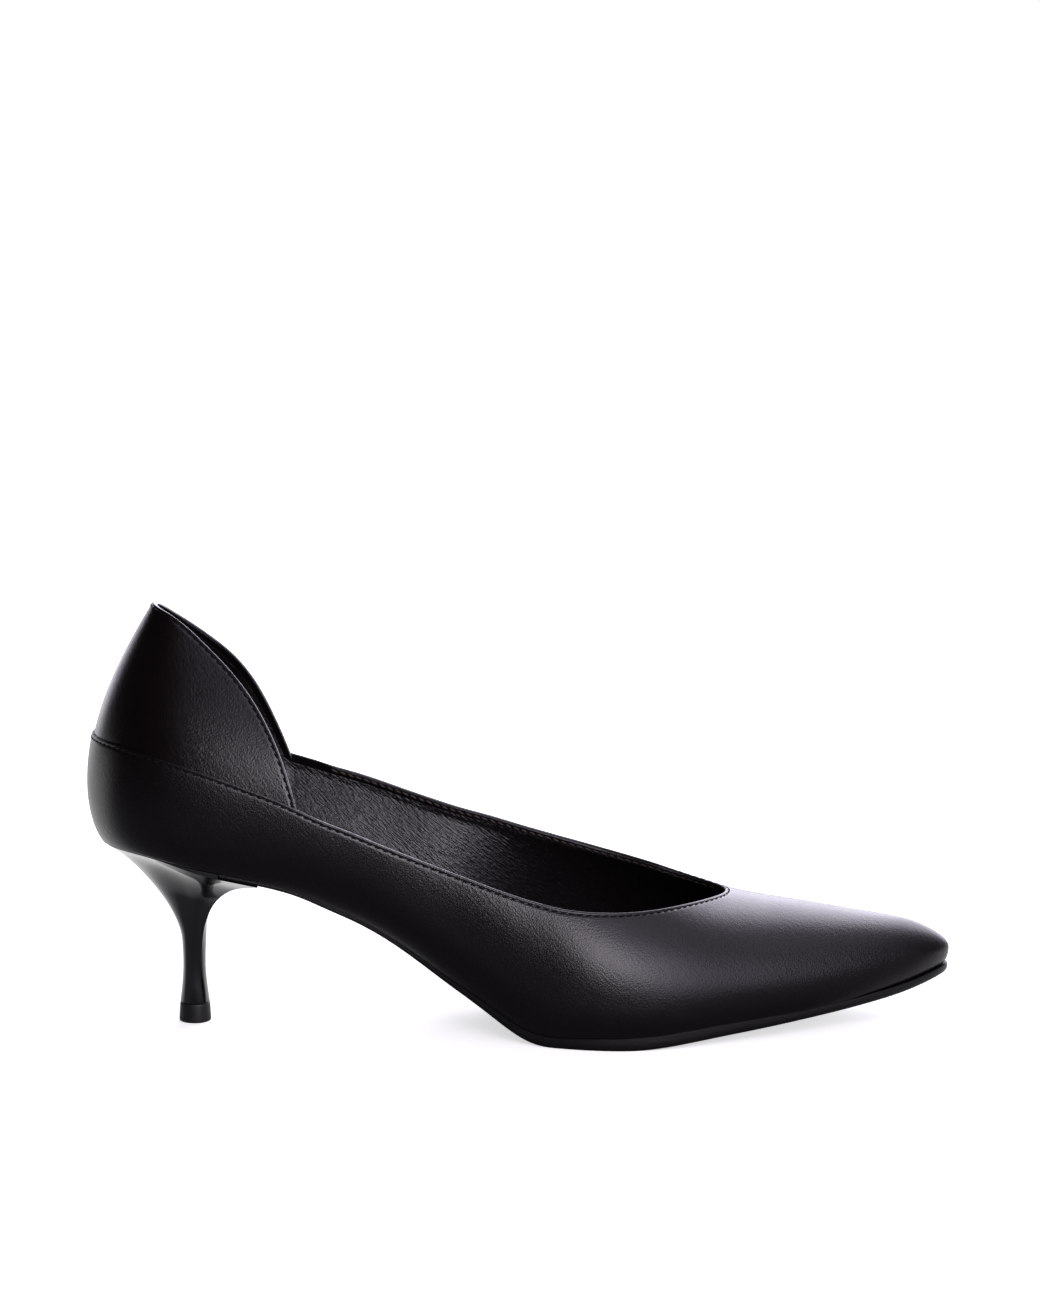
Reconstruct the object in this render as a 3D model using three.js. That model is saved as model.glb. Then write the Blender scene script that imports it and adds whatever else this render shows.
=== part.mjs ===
// Right kitten heel court shoe with a pointed toe and a raised back panel.
// Millimetres. X runs from the heel to the toe, Z is up, and the outer side of the foot is at -Y.
import * as THREE from 'three';
import { mergeVertices } from 'three/addons/utils/BufferGeometryUtils.js';

// Driving sizes of the last and of what is built on it.
const shoeLength = 258;
const treadWidth = 72;
const heelHeight = 55;
const toeSpring = 14;
const crownHeight = 97;
const toeSwing = 6.4;
const heelOverhang = 5;
const featherAngle = 62;

const wall = 2.2;
const lap = 0.6;
const panelThickness = 0.9;
const clearance = 0.3;
const soleThickness = 4.2;
const soleInset = 0.5;
const soleToeReach = 1.8;
const soleBevel = 0.7;
const insoleThickness = 2;

const breastSetback = 52.5;
const seatLength = 41;
const heelLip = 0.5;
const heelTopInset = 0.6;
const stemSetback = 31.9;
const stemRadius = 3.3;
const stemFootRadius = 4.4;
const topPieceRadius = 4.75;
const topPieceHeight = 5.8;

// Spine ends of the fans of sections round the heel and round the toe, as shares of the length.
const heelFanShare = 0.117;
const toeFanShare = 0.943;
const fanBlend = 8;

// Sections of the last from the heel back to the toe tip.
// along: share of the length. outer and inner: half widths of the bottom, as shares of the tread width.
// overOuter and overInner: how far the wall stands out past the bottom, as shares of the heel overhang.
// bulge: height of the widest place above the bottom, as a share of the crown height.
// lean: how soon the wall closes in above its widest place.
const sectionColumns = ['along', 'outer', 'inner', 'overOuter', 'overInner', 'bulge', 'lean'];
const sectionRows = [
  [0.0194, 0, 0, 0.86, 0.86, 0.18, 3.4],
  [0.0275, 0.14, 0.14, 0.88, 0.88, 0.18, 3.4],
  [0.0525, 0.258, 0.258, 0.94, 0.94, 0.181, 3.4],
  [0.0935, 0.33, 0.327, 0.98, 1, 0.184, 3.45],
  [0.148, 0.346, 0.34, 1, 1.06, 0.186, 3.3],
  [0.214, 0.334, 0.318, 1.14, 1.3, 0.186, 2.5],
  [0.28, 0.318, 0.286, 1.34, 1.62, 0.184, 1.65],
  [0.346, 0.31, 0.262, 1.5, 1.9, 0.179, 1.3],
  [0.412, 0.33, 0.256, 1.42, 1.86, 0.169, 1.2],
  [0.479, 0.396, 0.31, 1.1, 1.5, 0.149, 1.14],
  [0.545, 0.48, 0.402, 0.78, 1.02, 0.124, 1.08],
  [0.605, 0.524, 0.472, 0.58, 0.7, 0.105, 1.04],
  [0.67, 0.503, 0.5, 0.5, 0.54, 0.096, 1],
  [0.737, 0.424, 0.472, 0.45, 0.45, 0.089, 1],
  [0.805, 0.327, 0.413, 0.41, 0.41, 0.082, 1],
  [0.873, 0.216, 0.338, 0.38, 0.38, 0.074, 1],
  [0.93, 0.111, 0.256, 0.36, 0.36, 0.064, 1],
  [0.9715, 0.014, 0.194, 0.35, 0.35, 0.053, 1],
  [0.9975, -0.089, 0.089, 0.34, 0.34, 0.049, 1],
];
const sections = sectionRows.map(named(sectionColumns));

// Side profile of the sole and of the last above it, at shares of the length.
// rise: underside of the sole, as a share of the heel height. spring: the same, of the toe spring.
// gauge: sole thickness as a share of the sole thickness. crown: height of the last over its bottom.
const profileColumns = ['along', 'rise', 'spring', 'gauge', 'crown'];
const profileRows = [
  [0, 0.99, 0, 0.33, 1],
  [0.04, 0.998, 0, 0.33, 1],
  [0.08, 0.976, 0, 0.33, 1],
  [0.12, 0.932, 0, 0.33, 0.99],
  [0.16, 0.889, 0, 0.33, 0.955],
  [0.2, 0.847, 0, 0.33, 0.9],
  [0.25, 0.779, 0, 0.34, 0.83],
  [0.28, 0.713, 0, 0.35, 0.795],
  [0.32, 0.624, 0, 0.37, 0.76],
  [0.37, 0.477, 0, 0.42, 0.742],
  [0.42, 0.304, 0, 0.54, 0.741],
  [0.46, 0.176, 0, 0.68, 0.738],
  [0.49, 0.076, 0, 0.8, 0.729],
  [0.515, 0.015, 0, 0.86, 0.705],
  [0.54, 0, 0, 0.86, 0.661],
  [0.57, 0, 0, 0.9, 0.599],
  [0.6, 0, 0, 0.95, 0.542],
  [0.63, 0, 0, 1, 0.491],
  [0.66, 0, 0.036, 0.99, 0.444],
  [0.7, 0, 0.121, 0.96, 0.386],
  [0.74, 0, 0.204, 0.91, 0.34],
  [0.78, 0, 0.279, 0.84, 0.308],
  [0.82, 0, 0.362, 0.72, 0.284],
  [0.86, 0, 0.455, 0.67, 0.2543],
  [0.91, 0, 0.6, 0.67, 0.2113],
  [0.955, 0, 0.765, 0.64, 0.1683],
  [1, 0, 1.01, 0.58, 0.112],
];

// Edge of the back panel, from its peak at the heel back to where it meets the quarters.
// setback: distance from the heel back, as a share of the length. outer and inner: shares of the crown there.
const panelColumns = ['setback', 'outer', 'inner'];
const panelRows = [
  [0, 0.77, 0.77],
  [0.075, 0.755, 0.755],
  [0.0835, 0.748, 0.744],
  [0.1, 0.745, 0.722],
  [0.118, 0.731, 0.705],
  [0.147, 0.697, 0.678],
  [0.1765, 0.659, 0.64],
  [0.2, 0.613, 0.57],
  [0.215, 0.563, 0.488],
  [0.226, 0.513, 0.42],
  [0.2355, 0.462, 0.35],
  [0.244, 0.39, 0.28],
  [0.2515, 0.31, 0.22],
  [0.265, 0.15, 0.1],
];

// Top edge of the quarters, from the heel back to the throat, as shares of the crown at each place.
const edgeColumns = ['setback', 'outer', 'inner'];
const edgeRows = [
  [0, 0.336, 0.336],
  [0.0136, 0.336, 0.336],
  [0.034, 0.333, 0.337],
  [0.062, 0.325, 0.334],
  [0.121, 0.32, 0.337],
  [0.178, 0.321, 0.349],
  [0.236, 0.326, 0.372],
  [0.267, 0.333, 0.402],
  [0.302, 0.354, 0.442],
  [0.341, 0.38, 0.486],
  [0.376, 0.415, 0.531],
  [0.411, 0.455, 0.58],
  [0.442, 0.486, 0.619],
  [0.471, 0.517, 0.661],
  [0.496, 0.552, 0.7],
  [0.521, 0.585, 0.739],
  [0.547, 0.612, 0.771],
  [0.57, 0.643, 0.801],
  [0.593, 0.681, 0.832],
  [0.616, 0.724, 0.865],
  [0.64, 0.774, 0.899],
  [0.663, 0.826, 0.929],
  [0.686, 0.881, 0.948],
  [0.709, 0.935, 0.968],
  [0.734, 0.988, 0.992],
  [0.741, 1, 1],
];
const throatShare = edgeRows.at(-1)[0];

// Flare of the heel from its stem up to the seat.
// rise: share of the height. back, side and front: share of the way from the stem to the seat's edge.
const flareColumns = ['rise', 'back', 'side', 'front'];
const flareRows = [
  [0, 0, 0, 0],
  [0.22, 0, 0, 0],
  [0.34, 0.01, 0.006, 0.004],
  [0.44, 0.03, 0.022, 0.012],
  [0.5, 0.062, 0.042, 0.018],
  [0.55, 0.098, 0.066, 0.026],
  [0.6, 0.15, 0.1, 0.036],
  [0.65, 0.213, 0.145, 0.052],
  [0.7, 0.277, 0.195, 0.072],
  [0.75, 0.344, 0.255, 0.1],
  [0.8, 0.427, 0.33, 0.14],
  [0.85, 0.505, 0.42, 0.2],
  [0.9, 0.6, 0.53, 0.29],
  [0.95, 0.712, 0.67, 0.44],
  [0.98, 0.8, 0.79, 0.65],
  [1, 0.88, 0.91, 0.94],
];

// How finely each surface is divided.
const backRibs = 15;
const sideRibs = 30;
const vampRibs = 17;
const bandLevels = 9;
const panelLevels = 5;
const breastSteps = 8;

// A table row as an object with the column names as its keys.
function named(columns) {
  return (row) => Object.fromEntries(columns.map((name, i) => [name, row[i]]));
}

// Smooth curve through the values of a table whose first column rises, with no overshoot.
function curve(rows, column) {
  const xs = rows.map((row) => row[0]);
  const ys = rows.map((row) => row[column]);
  const steps = xs.slice(1).map((x, i) => (ys[i + 1] - ys[i]) / (x - xs[i]));
  const slopes = ys.map((_, i) => {
    if (i === 0) return steps[0];
    if (i === ys.length - 1) return steps[i - 1];
    const [before, after] = [steps[i - 1], steps[i]];
    return before * after <= 0 ? 0 : (2 * before * after) / (before + after);
  });
  return (x) => {
    let i = 0;
    while (i < xs.length - 2 && x > xs[i + 1]) i += 1;
    const span = xs[i + 1] - xs[i];
    const t = (x - xs[i]) / span;
    if (t < 0) return ys[i] + slopes[i] * (x - xs[i]);
    if (t > 1) return ys[i + 1] + slopes[i + 1] * (x - xs[i + 1]);
    const rest = 1 - t;
    return (
      ys[i] * (1 + 2 * t) * rest * rest +
      slopes[i] * span * t * rest * rest +
      ys[i + 1] * t * t * (3 - 2 * t) -
      slopes[i + 1] * span * t * t * rest
    );
  };
}

const riseAt = curve(profileRows, 1);
const springAt = curve(profileRows, 2);
const gaugeAt = curve(profileRows, 3);
const crownAt = curve(profileRows, 4);
const outerPanelAt = curve(panelRows, 1);
const innerPanelAt = curve(panelRows, 2);
const outerEdgeAt = curve(edgeRows, 1);
const innerEdgeAt = curve(edgeRows, 2);

const treadZ = (x) => Math.max(0, heelHeight * riseAt(x / shoeLength) + toeSpring * springAt(x / shoeLength));
const featherZ = (x) => treadZ(x) + soleThickness * gaugeAt(x / shoeLength);
const crownZ = (x) => featherZ(x) + crownHeight * crownAt(x / shoeLength);

// The spine is the plan line that the sections turn about. It ends inside the heel and the toe.
function softLimit(x, limit, side) {
  const past = side * (x - limit);
  if (past <= -fanBlend) return x;
  if (past >= fanBlend) return limit;
  return x - (side * (past + fanBlend) ** 2) / (4 * fanBlend);
}
function spinePoint(x) {
  const heelEnd = softLimit(x, heelFanShare * shoeLength, -1);
  const spineX = softLimit(heelEnd, toeFanShare * shoeLength, 1);
  const swing = THREE.MathUtils.smoothstep(spineX / shoeLength, 0.45, 1.0);
  return new THREE.Vector2(spineX, toeSwing * swing);
}

// The sections form a loop: outer side from heel to toe, then inner side back to the heel.
const lastRow = sections.length - 1;
const loopRows = [
  ...sections.map((row) => ({ ...row, half: -row.outer, over: row.overOuter })),
  ...sections.slice(1, -1).reverse().map((row) => ({ ...row, half: row.inner, over: row.overInner })),
];
function loopValue(key, place) {
  const count = loopRows.length;
  const base = Math.floor(place);
  const t = place - base;
  const [a, b, c, d] = [-1, 0, 1, 2].map((k) => loopRows[(base + k + count) % count][key]);
  return b + 0.5 * t * (c - a + t * (2 * a - 5 * b + 4 * c - d + t * (3 * (b - c) + d - a)));
}

// One rib of the last: the vertical curve from the bottom edge over to the spine.
function ribAt(place) {
  const foot = new THREE.Vector2(
    loopValue('along', place) * shoeLength,
    loopValue('half', place) * treadWidth,
  );
  const spine = spinePoint(foot.x);
  const out = foot.clone().sub(spine);
  const reach = out.length();
  const low = featherZ(foot.x);
  return {
    place,
    foot,
    spine,
    out: out.divideScalar(reach),
    reach,
    widest: reach + loopValue('over', place) * heelOverhang,
    low,
    waist: low + loopValue('bulge', place) * crownHeight,
    lean: loopValue('lean', place),
  };
}

// A point of a rib. The angle is -featherAngle at the bottom edge, 0 at the widest place, 90 on the spine.
function ribPoint(rib, degrees) {
  const angle = THREE.MathUtils.degToRad(degrees);
  const start = THREE.MathUtils.degToRad(featherAngle);
  if (degrees < 0) {
    const inward = (1 - Math.cos(angle)) / (1 - Math.cos(start));
    const radius = rib.widest - (rib.widest - rib.reach) * inward;
    const height = rib.waist + ((rib.waist - rib.low) * Math.sin(angle)) / Math.sin(start);
    return planPoint(rib, radius, height);
  }
  const radius = degrees >= 90 ? 0 : rib.widest * Math.cos(angle) ** rib.lean;
  const point = planPoint(rib, radius, 0);
  point.z = rib.waist + (crownZ(point.x) - rib.waist) * Math.sin(angle);
  return point;
}
function planPoint(rib, radius, height) {
  return new THREE.Vector3(
    rib.spine.x + rib.out.x * radius,
    rib.spine.y + rib.out.y * radius,
    height,
  );
}

// Outward direction of the last's surface.
function ribNormal(rib, degrees) {
  const step = 0.02;
  if (degrees >= 90) {
    const slope = (crownZ(rib.spine.x + step) - crownZ(rib.spine.x - step)) / (2 * step);
    return new THREE.Vector3(-slope, 0, 1).normalize();
  }
  const tilt = Math.min(degrees, 89);
  const along = ribPoint(ribAt(rib.place + step), tilt).sub(ribPoint(ribAt(rib.place - step), tilt));
  const up = ribPoint(rib, tilt + 0.5).sub(ribPoint(rib, tilt - 0.5));
  return along.cross(up).normalize();
}

// The point of a rib, moved in from the last's outer surface by a depth.
function surfacePoint(rib, degrees, depth) {
  const point = ribPoint(rib, degrees);
  if (depth === 0) return point;
  const inner = point.addScaledVector(ribNormal(rib, degrees), -depth);
  if (degrees <= -featherAngle) inner.z = featherZ(inner.x);
  return inner;
}

// The angle at which a rib reaches a share of its crown that depends on the place along the shoe.
function angleAtShare(rib, shareAt) {
  const excess = (degrees) => {
    const point = ribPoint(rib, degrees);
    const low = featherZ(point.x);
    return (point.z - low) / (crownZ(point.x) - low) - shareAt(point.x / shoeLength);
  };
  let [under, over] = [-featherAngle, 90];
  if (excess(over - 1e-6) < 0) return 90;
  for (let i = 0; i < 50; i += 1) {
    const middle = (under + over) / 2;
    if (excess(middle) < 0) under = middle;
    else over = middle;
  }
  return (under + over) / 2;
}

// Place in the loop where the outline reaches a distance along the shoe, on the outer side.
function placeAt(x) {
  let [before, after] = [0, lastRow];
  for (let i = 0; i < 50; i += 1) {
    const middle = (before + after) / 2;
    if (loopValue('along', middle) * shoeLength < x) before = middle;
    else after = middle;
  }
  return (before + after) / 2;
}

// Where the back panel's edge crosses the top edge of the quarters, as a share of the length.
function junctionShare(edgeAt, panelAt) {
  let [before, after] = [panelRows[1][0], panelRows.at(-1)[0]];
  for (let i = 0; i < 50; i += 1) {
    const middle = (before + after) / 2;
    if (panelAt(middle) > edgeAt(middle)) before = middle;
    else after = middle;
  }
  return (before + after) / 2;
}

// Ribs of one side, from the heel back to the toe tip, closer together at the junction and the throat.
function sideRibsOf(edgeAt, panelAt, mirrored) {
  const junction = placeAt(junctionShare(edgeAt, panelAt) * shoeLength);
  const throat = placeAt(throatShare * shoeLength);
  const places = [];
  for (let i = 0; i < backRibs; i += 1) places.push(junction * Math.sin(((i / backRibs) * Math.PI) / 2));
  for (let i = 0; i < sideRibs; i += 1) {
    const left = 1 - i / sideRibs;
    places.push(throat - (throat - junction) * left * (1 + left) / 2);
  }
  for (let i = 0; i <= vampRibs; i += 1) places.push(throat + ((lastRow - throat) * i) / vampRibs);
  return places.map((place, i) => {
    const rib = ribAt(mirrored ? 2 * lastRow - place : place);
    const closed = i >= backRibs + sideRibs;
    const seam = closed ? 90 : angleAtShare(rib, edgeAt);
    const top = i < backRibs ? Math.max(seam, angleAtShare(rib, panelAt)) : seam;
    return { ...rib, seam, top, closed };
  });
}
const outerRibs = sideRibsOf(outerEdgeAt, outerPanelAt, false);
const innerRibs = sideRibsOf(innerEdgeAt, innerPanelAt, true);
const ribLoop = [...outerRibs, ...innerRibs.slice(1, -1).reverse()];

// Collects triangles and turns them into one closed geometry.
class Shell {
  constructor() {
    this.corners = [];
  }
  triangle(a, b, c) {
    this.corners.push(a, b, c);
  }
  quad(a, b, c, d) {
    this.triangle(a, b, c);
    this.triangle(a, c, d);
  }
  // Joins two rows of points of the same length. The faces look to the right of the way from low to high.
  strip(low, high, closed = false) {
    const count = closed ? low.length : low.length - 1;
    for (let i = 0; i < count; i += 1) {
      const next = (i + 1) % low.length;
      this.quad(low[i], low[next], high[next], high[i]);
    }
  }
  geometry() {
    const points = new THREE.BufferGeometry().setFromPoints(this.corners);
    const merged = mergeVertices(points, 2e-3);
    const index = [];
    for (let i = 0; i < merged.index.count; i += 3) {
      const [a, b, c] = [0, 1, 2].map((k) => merged.index.getX(i + k));
      if (a !== b && b !== c && c !== a) index.push(a, b, c);
    }
    merged.setIndex(index);
    merged.computeVertexNormals();
    return merged;
  }
}

// Rows of points over ribs, between two angles of each rib, at one depth.
function gridRows(ribs, levels, lowOf, highOf, depth) {
  return Array.from({ length: levels + 1 }, (_, j) =>
    ribs.map((rib) => {
      const low = lowOf(rib);
      return surfacePoint(rib, low + ((highOf(rib) - low) * j) / levels, depth);
    }),
  );
}
function addRows(shell, rows, closed, outward) {
  for (let j = 0; j + 1 < rows.length; j += 1) {
    if (outward) shell.strip(rows[j], rows[j + 1], closed);
    else shell.strip(rows[j + 1], rows[j], closed);
  }
}

const bottomOf = () => -featherAngle;
const seamOf = (rib) => rib.seam;
const topOf = (rib) => rib.top;
const ledgeDepth = lap + panelThickness + clearance;
const counterWall = 1.1;

// The wall is thicker round the heel, where a stiffener lies between leather and lining.
function wallDepthAt(x) {
  const front = THREE.MathUtils.smoothstep(x / shoeLength, 0.3, 0.5);
  return THREE.MathUtils.lerp(ledgeDepth + counterWall, wall, front);
}
const wallDepth = (rib) => wallDepthAt(rib.foot.x);
function depthRows(ribs, levels, lowOf, highOf, depthOf) {
  return Array.from({ length: levels + 1 }, (_, j) =>
    ribs.map((rib) => {
      const low = lowOf(rib);
      return surfacePoint(rib, low + ((highOf(rib) - low) * j) / levels, depthOf(rib));
    }),
  );
}

// Ribs of the heel region, from the inner junction round the back to the outer one.
const backLoop = [
  ...innerRibs.slice(1, backRibs + 1).reverse(),
  ...outerRibs.slice(0, backRibs + 1),
];

// Upper: vamp and quarters in one band, with the thinner counter wall that stands inside the back panel.
function upperGeometry() {
  const shell = new Shell();
  const band = gridRows(ribLoop, bandLevels, bottomOf, seamOf, 0);
  const lining = depthRows(ribLoop, bandLevels, bottomOf, seamOf, wallDepth);
  addRows(shell, band, true, true);
  addRows(shell, lining, true, false);
  shell.strip(lining[0], band[0], true);
  const counterOut = gridRows(backLoop, panelLevels, seamOf, topOf, ledgeDepth);
  const counterIn = depthRows(backLoop, panelLevels, seamOf, topOf, wallDepth);
  addRows(shell, counterOut, false, true);
  addRows(shell, counterIn, false, false);
  shell.strip(counterOut.at(-1), counterIn.at(-1));
  const open = [
    ...innerRibs.slice(1, backRibs + sideRibs + 1).reverse(),
    ...outerRibs.slice(0, backRibs + sideRibs + 1),
  ];
  const edge = (ribs, depthOf) => ribs.map((rib) => surfacePoint(rib, rib.seam, depthOf(rib)));
  shell.strip(edge(open, () => 0), edge(open, () => ledgeDepth));
  const innerFront = innerRibs.slice(backRibs, backRibs + sideRibs + 1).reverse();
  const outerFront = outerRibs.slice(backRibs, backRibs + sideRibs + 1);
  for (const front of [innerFront, outerFront]) {
    shell.strip(edge(front, () => ledgeDepth), edge(front, wallDepth));
  }
  return shell.geometry();
}

// Back panel: one piece of leather wrapped round the heel, its lower edge tucked behind the band.
function panelGeometry() {
  const shell = new Shell();
  const ribs = backLoop.slice(1, -1);
  const lift = (rib) => {
    const perDegree = ribPoint(rib, rib.seam + 1).distanceTo(ribPoint(rib, rib.seam));
    return rib.seam + clearance / perDegree;
  };
  const outside = gridRows(ribs, panelLevels, lift, topOf, lap);
  const inside = gridRows(ribs, panelLevels, lift, topOf, lap + panelThickness);
  addRows(shell, outside, false, true);
  addRows(shell, inside, false, false);
  shell.strip(inside[0], outside[0]);
  shell.strip(outside.at(-1), inside.at(-1));
  const columnOf = (rows, i) => rows.map((row) => row.at(i));
  shell.strip(columnOf(outside, 0), columnOf(inside, 0));
  shell.strip(columnOf(inside, -1), columnOf(outside, -1));
  return shell.geometry();
}

// Outline of the bottom, moved inwards, as pairs of outer and inner points at the same distance along.
function outlinePairs(places, insetAt) {
  return places.map((place) => [place, 2 * lastRow - place].map((spot) => {
    const step = 0.01;
    const at = (s) => [loopValue('along', s) * shoeLength, loopValue('half', s) * treadWidth];
    const [x, y] = at(spot);
    const [dx, dy] = [0, 1].map((k) => at(spot + step)[k] - at(spot - step)[k]);
    const scale = insetAt(x) / Math.hypot(dx, dy);
    return new THREE.Vector2(x - dy * scale, y + dx * scale);
  }));
}

// A sheet that follows the bottom of the last: rings of outline at given insets and heights.
function layeredSheet(places, layers) {
  const shell = new Shell();
  const sheets = layers.map(({ insetAt, heightAt }) => {
    const pairs = outlinePairs(places, insetAt);
    const place = (point) => new THREE.Vector3(point.x, point.y, heightAt(point.x));
    return { outer: pairs.map((pair) => place(pair[0])), inner: pairs.map((pair) => place(pair[1])) };
  });
  const rings = sheets.map(({ outer, inner }) => [...outer, ...inner.slice().reverse()]);
  addRows(shell, rings, true, true);
  shell.strip(sheets[0].inner, sheets[0].outer);
  shell.strip(sheets.at(-1).outer, sheets.at(-1).inner);
  return shell.geometry();
}

// Places in the loop from one distance along the shoe to the toe tip, closer together at both ends.
function placesFrom(x, count) {
  const start = x > 0 ? placeAt(x) : 0;
  return Array.from({ length: count + 1 }, (_, i) => {
    const even = i / count;
    const eased = (1 - Math.cos(Math.PI * even)) / 2;
    return THREE.MathUtils.lerp(start, lastRow, (even + eased) / 2);
  });
}

// The sole runs from the front part of the heel seat to the toe, where its edge stands out.
function outsoleGeometry() {
  const edgeAt = (x) => soleInset - soleToeReach * THREE.MathUtils.smoothstep(x / shoeLength, 0.82, 0.98);
  const bevelZ = (x) => treadZ(x) + 0.35 * (featherZ(x) - treadZ(x));
  return layeredSheet(placesFrom(seatLength + clearance, 70), [
    { insetAt: (x) => edgeAt(x) + soleBevel, heightAt: treadZ },
    { insetAt: edgeAt, heightAt: bevelZ },
    { insetAt: edgeAt, heightAt: (x) => featherZ(x) - clearance },
  ]);
}

function insoleGeometry() {
  const insetAt = (x) => 0.8 * wallDepthAt(x) + clearance;
  return layeredSheet(placesFrom(0, 60), [
    { insetAt, heightAt: (x) => featherZ(x) + 0.1 },
    { insetAt, heightAt: (x) => featherZ(x) + insoleThickness },
  ]);
}

// Heel: a flared cup under the seat that runs down into a slim round stem. Its top has a step down
// where the sole starts.
function heelGeometry() {
  const shell = new Shell();
  const breast = placeAt(breastSetback);
  const seatEnd = placeAt(seatLength);
  const rearPlaces = Array.from({ length: 14 }, (_, i) => seatEnd * Math.sin((Math.PI * i) / 26));
  const frontPlaces = [0, 0.5, 1].map((t) => THREE.MathUtils.lerp(seatEnd, breast, t));
  const rear = outlinePairs(rearPlaces, () => heelTopInset);
  const front = outlinePairs(frontPlaces, () => heelTopInset);
  const lift = (pairs, heightAt) =>
    pairs.map((pair) => pair.map((spot) => new THREE.Vector3(spot.x, spot.y, heightAt(spot.x) - clearance)));
  const pairs = [...lift(rear, featherZ), ...lift(front, treadZ)];
  const [left, right] = pairs.at(-1);
  const breastLine = [];
  for (let i = 1; i < breastSteps; i += 1) breastLine.push(left.clone().lerp(right, i / breastSteps));
  const outer = pairs.map((pair) => pair[0]);
  const inner = pairs.map((pair) => pair[1]);
  const ring = [...outer, ...breastLine, ...inner.slice(1).reverse()];
  const flare = ['back', 'side', 'front'].map((_, i) => curve(flareRows, i + 1));
  const base = topPieceHeight + clearance;
  const stemAt = (rise) => {
    const narrowing = Math.sin((Math.min(1, rise / 0.33) * Math.PI) / 2);
    return THREE.MathUtils.lerp(stemFootRadius, stemRadius, narrowing);
  };
  const rows = [...flareLevels()].map((rise) => {
    const [back, side, ahead] = flare.map((at) => at(rise));
    return ring.map((edge) => {
      const seatZ = treadZ(edge.x) - clearance - heelLip;
      const angle = Math.atan2(edge.y, edge.x - stemSetback);
      const lengthwise = Math.cos(angle) ** 2;
      const spread = lengthwise * (edge.x < stemSetback ? back : ahead) + (1 - lengthwise) * side;
      const radius = stemAt(rise);
      return new THREE.Vector3(
        THREE.MathUtils.lerp(stemSetback + radius * Math.cos(angle), edge.x, spread),
        THREE.MathUtils.lerp(radius * Math.sin(angle), edge.y, spread),
        THREE.MathUtils.lerp(base, seatZ, rise),
      );
    });
  });
  rows.push(ring);
  addRows(shell, rows, true, true);
  shell.strip(outer, inner);
  const brim = [left, ...breastLine, right];
  for (let i = 1; i + 1 < brim.length; i += 1) shell.triangle(brim[0], brim[i], brim[i + 1]);
  const foot = rows[0];
  const centre = new THREE.Vector3(stemSetback, 0, base);
  foot.forEach((point, i) => shell.triangle(centre, foot[(i + 1) % foot.length], point));
  return shell.geometry();
}

// Heights of the heel's rows as shares of its own height, closer together under the seat.
function* flareLevels() {
  const count = 20;
  for (let i = 0; i <= count; i += 1) yield 1 - (1 - i / count) ** 1.5;
}

// Top piece: the hard-wearing plug that the stem stands on.
function topPieceGeometry() {
  const rim = 0.4;
  const profile = [
    new THREE.Vector2(0, 0),
    new THREE.Vector2(topPieceRadius - rim, 0),
    new THREE.Vector2(topPieceRadius, rim),
    new THREE.Vector2(stemFootRadius + 0.1, topPieceHeight),
    new THREE.Vector2(0, topPieceHeight),
  ];
  const plug = new THREE.LatheGeometry(profile, 32);
  plug.rotateX(Math.PI / 2);
  plug.deleteAttribute('normal');
  plug.deleteAttribute('uv');
  plug.translate(stemSetback, 0, 0);
  return mergeVertices(plug, 1e-3);
}

const finishes = {
  leather: new THREE.MeshStandardMaterial({ color: 0x1a1719, roughness: 0.42, metalness: 0 }),
  soleLeather: new THREE.MeshStandardMaterial({ color: 0x151314, roughness: 0.6, metalness: 0 }),
  lining: new THREE.MeshStandardMaterial({ color: 0x1c1a1b, roughness: 0.6, metalness: 0 }),
  lacquer: new THREE.MeshStandardMaterial({ color: 0x0c0c0e, roughness: 0.08, metalness: 0 }),
  plug: new THREE.MeshStandardMaterial({ color: 0x1b1b1c, roughness: 0.55, metalness: 0 }),
};

const shoe = new THREE.Group();
function addPiece(name, geometry, material) {
  const mesh = new THREE.Mesh(geometry, material);
  mesh.name = name;
  shoe.add(mesh);
}
addPiece('upper', upperGeometry(), finishes.leather);
addPiece('back_panel', panelGeometry(), finishes.leather);
addPiece('outsole', outsoleGeometry(), finishes.soleLeather);
addPiece('insole', insoleGeometry(), finishes.lining);
addPiece('heel', heelGeometry(), finishes.lacquer);
addPiece('top_piece', topPieceGeometry(), finishes.plug);

// The origin is on the floor, under the middle of the shoe's length and width.
const bounds = new THREE.Box3().setFromObject(shoe);
const middle = bounds.getCenter(new THREE.Vector3());
shoe.position.set(-middle.x, -middle.y, 0);

export default shoe;
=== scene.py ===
"""Right kitten heel court shoe in black leather, with a pointed toe and a raised back panel."""
import math

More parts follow.
